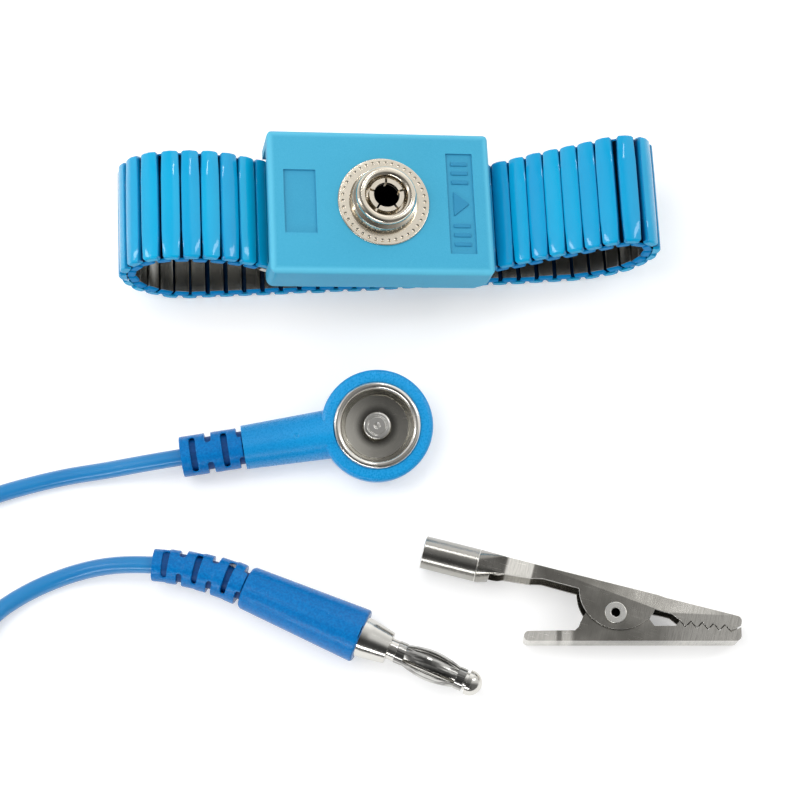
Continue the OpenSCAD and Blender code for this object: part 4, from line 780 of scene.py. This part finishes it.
# ------------------------------------------------------------------------- pieces
def shown(piece, slot, body, *nodes, finish=None):
    """Gives a piece its finish and its body, and lets it stand for CAD nodes."""
    piece.data.materials.clear()
    piece.data.materials.append(FINISHES[finish or slot])
    if nodes:
        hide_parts(*nodes)
    if body:
        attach(piece, body)
    return piece


def from_form(name, form):
    """Ends a bmesh as a smooth mesh object."""
    data = bpy.data.meshes.new(name)
    form.to_mesh(data)
    form.free()
    data.polygons.foreach_set("use_smooth", [True] * len(data.polygons))
    return add(name, data)


def node_form(node):
    """A CAD node's mesh with its doubles merged and its flats joined."""
    form = bmesh.new()
    source = frame["nodes"][node].data
    corners = [form.verts.new(v.co) for v in source.vertices]
    form.verts.index_update()
    for face in source.polygons:
        form.faces.new([corners[i] for i in face.vertices])
    bmesh.ops.remove_doubles(form, verts=form.verts, dist=0.002 * MM)
    bmesh.ops.dissolve_limit(form, angle_limit=rad(0.5), verts=form.verts, edges=form.edges)
    return form


def soften(piece, width, angle=35, segments=2):
    """Rounds a piece's sharp edges by width in mm."""
    piece.data.set_sharp_from_angle(angle=rad(angle))
    edge = piece.modifiers.new("edges", "BEVEL")
    edge.width = width * MM
    edge.segments = segments
    edge.limit_method = "ANGLE"
    edge.angle_limit = rad(angle)
    edge.harden_normals = True
    edge.miter_outer = "MITER_ARC"
    return piece


def rubbery(piece, cell=0.13, rounds=22, shrink_by=0.11):
    """Rounds a moulded piece all over, as soft rubber leaves its mould. It ends smaller
    than its solid by shrink_by in mm, which widens the slots between the rings."""
    skin = piece.modifiers.new("skin", "REMESH")
    skin.mode, skin.voxel_size, skin.use_smooth_shade = "VOXEL", cell * MM, True
    smooth = piece.modifiers.new("smooth", "SMOOTH")
    smooth.factor, smooth.iterations = 0.5, rounds
    shrink = piece.modifiers.new("shrink", "DISPLACE")
    shrink.mid_level, shrink.strength = 0, -shrink_by * MM
    return piece


def dressed(node, name, width, finish=None, edge=None, form=None):
    """A node's own shape with edges rounded by width in mm, which may have a finish of
    their own. A piece without a width is rounded all over."""
    piece = from_form(name, form or node_form(node))
    if width:
        soften(piece, width)
    else:
        rubbery(piece)
    shown(piece, SLOTS[node], BODIES[node], node, finish=finish)
    if edge:
        piece.data.materials.append(FINISHES[edge])
        piece.modifiers["edges"].material = 1
    return piece


def cover_form():
    """The cover, with the long edges of its block well rounded."""
    form = node_form("buckle_cover")
    back = BUCKLE.inverted()
    margin, top_edge, corner, round_r = 1.2, -0.1, 50, 0.45

    def outside(vert):
        x, y, _ = (back @ vert.co) / MM
        return abs(x) > BUCKLE_L / 2 - margin or abs(y) > BUCKLE_W / 2 - margin

    edges = [
        e for e in form.edges
        if all(outside(vert) for vert in e.verts) and e.is_manifold
        and e.calc_face_angle_signed() > rad(corner)
        and (back @ e.verts[0].co).z > top_edge * MM
    ]
    bmesh.ops.bevel(
        form, geom=edges, offset=round_r * MM, segments=3, profile=0.5, affect="EDGES",
        clamp_overlap=True,
    )
    return form


# A link is a loaf: a section along the band, carried across it and folded down at
# both ends. Heights count from the band's middle, up away from the wrist.
SHOULDER, SHOULDER_STEPS = 66, 3
CROWN_SHARES = (0.84, 0.62, 0.36, 0)
FOLD_ANGLES = (0, 25, 45, 62, 78, 90)
PAINTED_END, ROOT_END = 0.35, 0.3


def loaf(name, foot, top, width, top_width, fold, clip, edge_r, crown, attribute):
    """A link's mesh; widths are along the band. fold is the radius at its ends, clip the
    cut across its corners, edge_r the radius of its shoulders and crown the height of its
    roof over them. The attribute marks the shoulders ("edge") or the ends ("paint")."""
    reach = BAND_W / 2
    section = [(width / 2, foot, 0.5)]
    for k in range(SHOULDER_STEPS + 1):
        a = rad(SHOULDER * k / SHOULDER_STEPS)
        section.append((
            top_width / 2 - edge_r * (1 - math.cos(a)), top - crown - edge_r * (1 - math.sin(a)),
            1.0 if k < SHOULDER_STEPS else 0.7,
        ))
    inner, shoulder, _ = section[-1]
    for share in CROWN_SHARES:
        section.append((inner * share, shoulder + (top - shoulder) * (1 - share**2), 0.0))
    section += [(-x, z, mark) for x, z, mark in section[-2::-1]]
    ends = [(reach * 0.5, 0)] + [
        (reach - fold * (1 - math.sin(rad(t))), fold * (1 - math.cos(rad(t))))
        for t in FOLD_ANGLES
    ] + [(reach, top - foot)]
    stations = [(-y, drop) for y, drop in reversed(ends)] + ends
    form = bmesh.new()
    layer, root = (form.verts.layers.float.new(kind) for kind in (attribute, "root"))
    rings = []
    for y, drop in stations:
        inset = max(0.0, abs(y) - (reach - clip)) * 0.8
        ring = []
        for k, (x, z, mark) in enumerate(section):
            low = max(foot, z - drop * (z - foot) / (top - foot))
            side = x - math.copysign(min(inset, abs(x)), x)
            vert = form.verts.new(Vector((side, y, -low)) * MM)
            # edge marks the shoulders, which the enamel darkens as painted shade and flecks with
            # wear; paint marks the inner link's enamelled ends
            vert[layer] = mark if attribute == "edge" else float(abs(y) > reach - PAINTED_END)
            # root marks the sides below the face, which the finishes darken as painted shade in
            # the gaps between links
            vert[root] = float(k in (0, len(section) - 1) and abs(y) < reach - ROOT_END)
            ring.append(vert)
        rings.append(ring)
    for a, b in zip(rings, rings[1:]):
        for i in range(len(section) - 1):
            form.faces.new((a[i], a[i + 1], b[i + 1], b[i]))
        form.faces.new((a[-1], a[0], b[0], b[-1]))
    form.faces.new(rings[0])
    form.faces.new(rings[-1][::-1])
    bmesh.ops.remove_doubles(form, verts=form.verts, dist=0.005 * MM)
    bmesh.ops.recalc_face_normals(form, faces=form.faces)
    piece = from_form(name, form)
    piece.data.set_sharp_from_angle(angle=rad(30))
    return piece


def link_row_tree():
    """Sets a link on every point of a rail, each rocked and slipped a little."""
    tree = bpy.data.node_groups.new("link_row", "GeometryNodeTree")
    kinds = (
        ("Rail", "NodeSocketGeometry"), ("Link", "NodeSocketObject"),
        ("Finish", "NodeSocketMaterial"), ("Rock", "NodeSocketFloat"),
        ("Slip", "NodeSocketFloat"), ("Seed", "NodeSocketInt"),
    )
    for name, kind in kinds:
        tree.interface.new_socket(name, in_out="INPUT", socket_type=kind)
    tree.interface.new_socket("Row", in_out="OUTPUT", socket_type="NodeSocketGeometry")
    graph = Graph(tree)
    value = {name: graph.node("NodeGroupInput", out=name) for name, _ in kinds}

    def chance(seed):
        """A number from -1 to 1 that each link draws for itself."""
        return graph.node("FunctionNodeRandomValue", {"data_type": "FLOAT"}, {
            2: -1.0, 3: 1.0, "Seed": value["Seed"] + seed,
        }, out=1)

    heading = graph.node(
        "GeometryNodeInputNamedAttribute", {"data_type": "FLOAT"}, {"Name": "heading"},
    )
    turn = graph.node("ShaderNodeCombineXYZ", None, {
        "X": chance(1) * value["Rock"] * 0.3,
        "Y": chance(2) * value["Rock"] - heading,
        "Z": chance(3) * value["Rock"] * 0.3,
    })
    link = graph.node(
        "GeometryNodeObjectInfo", {"transform_space": "ORIGINAL"}, {"Object": value["Link"]},
        out="Geometry",
    )
    row = graph.node("GeometryNodeInstanceOnPoints", None, {
        "Points": value["Rail"], "Instance": link, "Rotation": turn,
    })
    row = graph.node("GeometryNodeTranslateInstances", None, {
        "Instances": row,
        "Translation": graph.node("ShaderNodeCombineXYZ", None, {"Y": chance(4) * value["Slip"]}),
        "Local Space": True,
    })
    row = graph.node(
        "GeometryNodeStoreNamedAttribute", {"data_type": "FLOAT", "domain": "INSTANCE"},
        {"Geometry": row, "Name": "tone", "Value": chance(5) * 0.5 + 0.5},
    )
    row = graph.node("GeometryNodeRealizeInstances", None, {"Geometry": row})
    row = graph.node("GeometryNodeSetMaterial", None, {
        "Geometry": row, "Material": value["Finish"],
    })
    graph.node("NodeGroupOutput", None, {"Row": row})
    return tree


def set_modifier(obj, tree, values):
    """Adds the tree to obj and sets its named inputs."""
    modifier = obj.modifiers.new(tree.name, "NODES")
    modifier.node_group = tree
    for item in tree.interface.items_tree:
        if item.item_type == "SOCKET" and item.name in values:
            modifier[item.identifier] = values[item.name]


def made_plain(obj):
    """Turns what an object's modifiers make into its own mesh."""
    bpy.context.view_layer.update()
    shape = obj.evaluated_get(bpy.context.evaluated_depsgraph_get())
    data = bpy.data.meshes.new_from_object(shape)
    obj.modifiers.clear()
    obj.data = data
    return obj


LINK_ROW = link_row_tree()
ROCK, SLIP = 0.7, 0.07


def link_row(name, link, ways, slot, body, node, seed):
    """The links of one row that ride on one body."""
    rail = bpy.data.meshes.new(name)
    rail.from_pydata([at_band(way).translation for way in ways], [], [])
    headings = rail.attributes.new("heading", "FLOAT", "POINT")
    headings.data.foreach_set("value", [rad(on_band(way)[2]) for way in ways])
    row = add(name, rail)
    set_modifier(row, LINK_ROW, {
        "Link": link, "Finish": FINISHES[slot], "Rock": rad(ROCK), "Slip": SLIP * MM, "Seed": seed,
    })
    return shown(made_plain(row), slot, body, node)


# Widths along the band. The outer link is 0.07 mm wider than the solids' and the inner
# link's face 0.31 mm wider; its root is the same.
OUTER_LINK_W, INNER_ROOT_W, INNER_FACE_W = PITCH - 0.08, 2.6, 2.36
outer_link = loaf(
    "outer_link", ROW_GAP / 2, OUTER_H, OUTER_LINK_W, OUTER_LINK_W,
    fold=0.38, clip=0.55, edge_r=0.15, crown=0.26, attribute="edge",
)
inner_link = loaf(
    "inner_link", ROW_GAP / 2, INNER_H, INNER_ROOT_W, INNER_FACE_W,
    fold=0.4, clip=0.3, edge_r=0.16, crown=0.04, attribute="paint",
)
# the inner row faces the wrist
for vert in inner_link.data.vertices:
    vert.co.z = -vert.co.z
inner_link.data.flip_normals()

BAND_BODIES = ("fixed", "left_1", "left_2", "right_1", "right_2")
for seed, part in enumerate(BAND_BODIES):
    body = "strap" if part == "fixed" else part
    link_row(
        f"outer_row_{part}", outer_link,
        [(i + 0.5) * PITCH for i in range(LINKS) if body_of(i) == part],
        "link_paint", body, f"outer_links_{part}", 10 * seed,
    )
    link_row(
        f"inner_row_{part}", inner_link,
        [j * PITCH for j in range(1, LINKS) if inner_body(j) == part],
        "link_steel", body, f"inner_links_{part}", 10 * seed + 5,
    )
for link in (outer_link, inner_link):
    bpy.data.objects.remove(link)

# how far a gap's own staples reach from its middle, and the heights between which a staple passes
# from the outer link to the inner link
STAPLE_REACH, BLEND_REACH = 2.2, 0.4


def stretch_staples(part):
    """The staples over a body's two stretching gaps, each gap a piece of its own."""
    node = f"stretch_staples_{part}"
    gaps = [j for j in BREAKS[1:] if max(body_of(j - 1), body_of(j)) == part]
    for k, j in enumerate(gaps):
        middle = at_band(j * PITCH)
        form = node_form(node)
        far = [
            vert for vert in form.verts
            if (vert.co - middle.translation).xz.length > STAPLE_REACH * MM
        ]
        bmesh.ops.delete(form, geom=far, context="VERTS")
        piece = soften(from_form(f"{node}_{k + 1}", form), 0.06, segments=1)
        outer = body_of(j - 1) if j < LINKS / 2 else body_of(j)
        bodies = ["strap" if b == "fixed" else b for b in (outer, inner_body(j))]
        shown(piece, "spring_steel", None, node)
        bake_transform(piece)


for part in BAND_BODIES[1:]:
    stretch_staples(part)

# Each node's piece: its name, the rounding of its edges, its finish if that isn't its
# slot's, and the finish of its edges if they have their own.
DRESSED = {
    "buckle_tray": ("tray", 0.1), "skin_plate": ("skin_plate_sheet", 0.1),
    "hinge_pin": ("cover_pin", 0.12), "band_end_pins": ("end_pins", 0.12),
    "band_end_hooks": ("end_hooks", 0.08), "snap_flange": ("flange", 0.05),
    "snap_socket": ("socket", 0.1), "snap_spring_collar": ("spring_collar", 0.08),
    "snap_rivet": ("hollow_rivet", 0.06), "contact_strip": ("contact_spring", 0.06),
    "clip_upper_jaw": ("upper_jaw", 0.2, "clip_steel", "clip_edge"),
    "clip_plug_barrel": ("plug_barrel", 0.14, "clip_tube", "clip_edge"),
    "clip_lower_jaw": ("lower_jaw", 0.2, "clip_steel", "clip_edge"),
    "clip_rivet": ("jaw_rivet", 0.16, "rivet_head", "clip_edge"),
    "snap_end_disc": ("snap_end_body", 0.2),
    "snap_end_cup": ("snap_end_cup_sheet", 0.06, "cup_nickel"),
    "snap_end_stud": ("press_stud", 0.06, "stud_nickel"),
    "snap_end_relief": ("snap_end_rings", 0, "handle_rubber"),
    "plug_handle": ("handle", 0.3, "handle_rubber"),
    "plug_relief": ("handle_rings", 0, "handle_rubber"),
    "plug_collar": ("collar", 0.12), "plug_pin": ("pin", 0.08),
    "plug_cage": ("lantern", 0.05, "lantern_nickel"),
}
pieces = {node: dressed(node, *how) for node, how in DRESSED.items()}
dressed("buckle_cover", "cover_shell", 0.06, form=cover_form())


# The sleeves inside the strain reliefs, which close the slots between the rings; their dark colour
# is painted shade in the slots.
SNAP_SLEEVE_R, SNAP_SLEEVE_L, PLUG_SLEEVE_R, PLUG_SLEEVE_L = 2.7, 10, 2.3, 14
SLEEVE_IN = 0.6
snap_axis = [in_neck(NECK_L - SLEEVE_IN + d) for d in range(SNAP_SLEEVE_L + 1)]
plug_axis = [in_relief(d) for d in range(PLUG_SLEEVE_L + 1)]
sleeves = [
    wire("snap_end_sleeve", snap_axis, SNAP_SLEEVE_R, roundness=8),
    wire("handle_sleeve", plug_axis, PLUG_SLEEVE_R, roundness=8),
]
for sleeve in sleeves:
    shown(sleeve, "overmould", "cord_set", finish="relief_core_painted_shade")


MARK_FOOT, MARK_TOP = -0.42, -0.14
ARROW = [(12.1, -2.1), (14.7, 0), (12.1, 2.1)]
RIB_X, RIB_HALF = (11.9, 14.7), 0.32
RIBS_Y = (-7, -5.4, -3.8, 3.8, 5.4, 7)


def pull_mark():
    """Raised ribs and an arrow head in the right recess, which point to the end that lifts."""
    form = bmesh.new()

    def prism(outline):
        low, high = (
            [form.verts.new(BUCKLE @ (Vector((x, y, z)) * MM)) for x, y in outline]
            for z in (MARK_FOOT, MARK_TOP)
        )
        form.faces.new(low[::-1])
        form.faces.new(high)
        for k in range(len(low)):
            n = (k + 1) % len(low)
            form.faces.new((low[k], low[n], high[n], high[k]))

    prism(ARROW)
    left, right = RIB_X
    for y in RIBS_Y:
        low, high = y - RIB_HALF, y + RIB_HALF
        prism([(left, low), (right, low), (right, high), (left, high)])
    bmesh.ops.recalc_face_normals(form, faces=form.faces)
    return form


shown(soften(from_form("pull_mark", pull_mark()), 0.1), "abs", BODIES["buckle_cover"])
# the nodes that nothing stands for are shown as they are
for node, obj in frame["nodes"].items():
    if not obj.hide_render and SLOTS[node] != "cord":
        obj.data.materials.clear()
        obj.data.materials.append(FINISHES[SLOTS[node]])

shown(ground_cord, "cord", "cord_set", "snap_cord", "plug_cord", "cord_coil")
([pieces[n] for n in (
        "snap_end_disc", "snap_end_cup", "snap_end_stud", "snap_end_relief", "plug_handle",
        "plug_relief", "plug_collar", "plug_pin", "plug_cage",
    )] + sleeves + [frame["nodes"]["resistor"]])
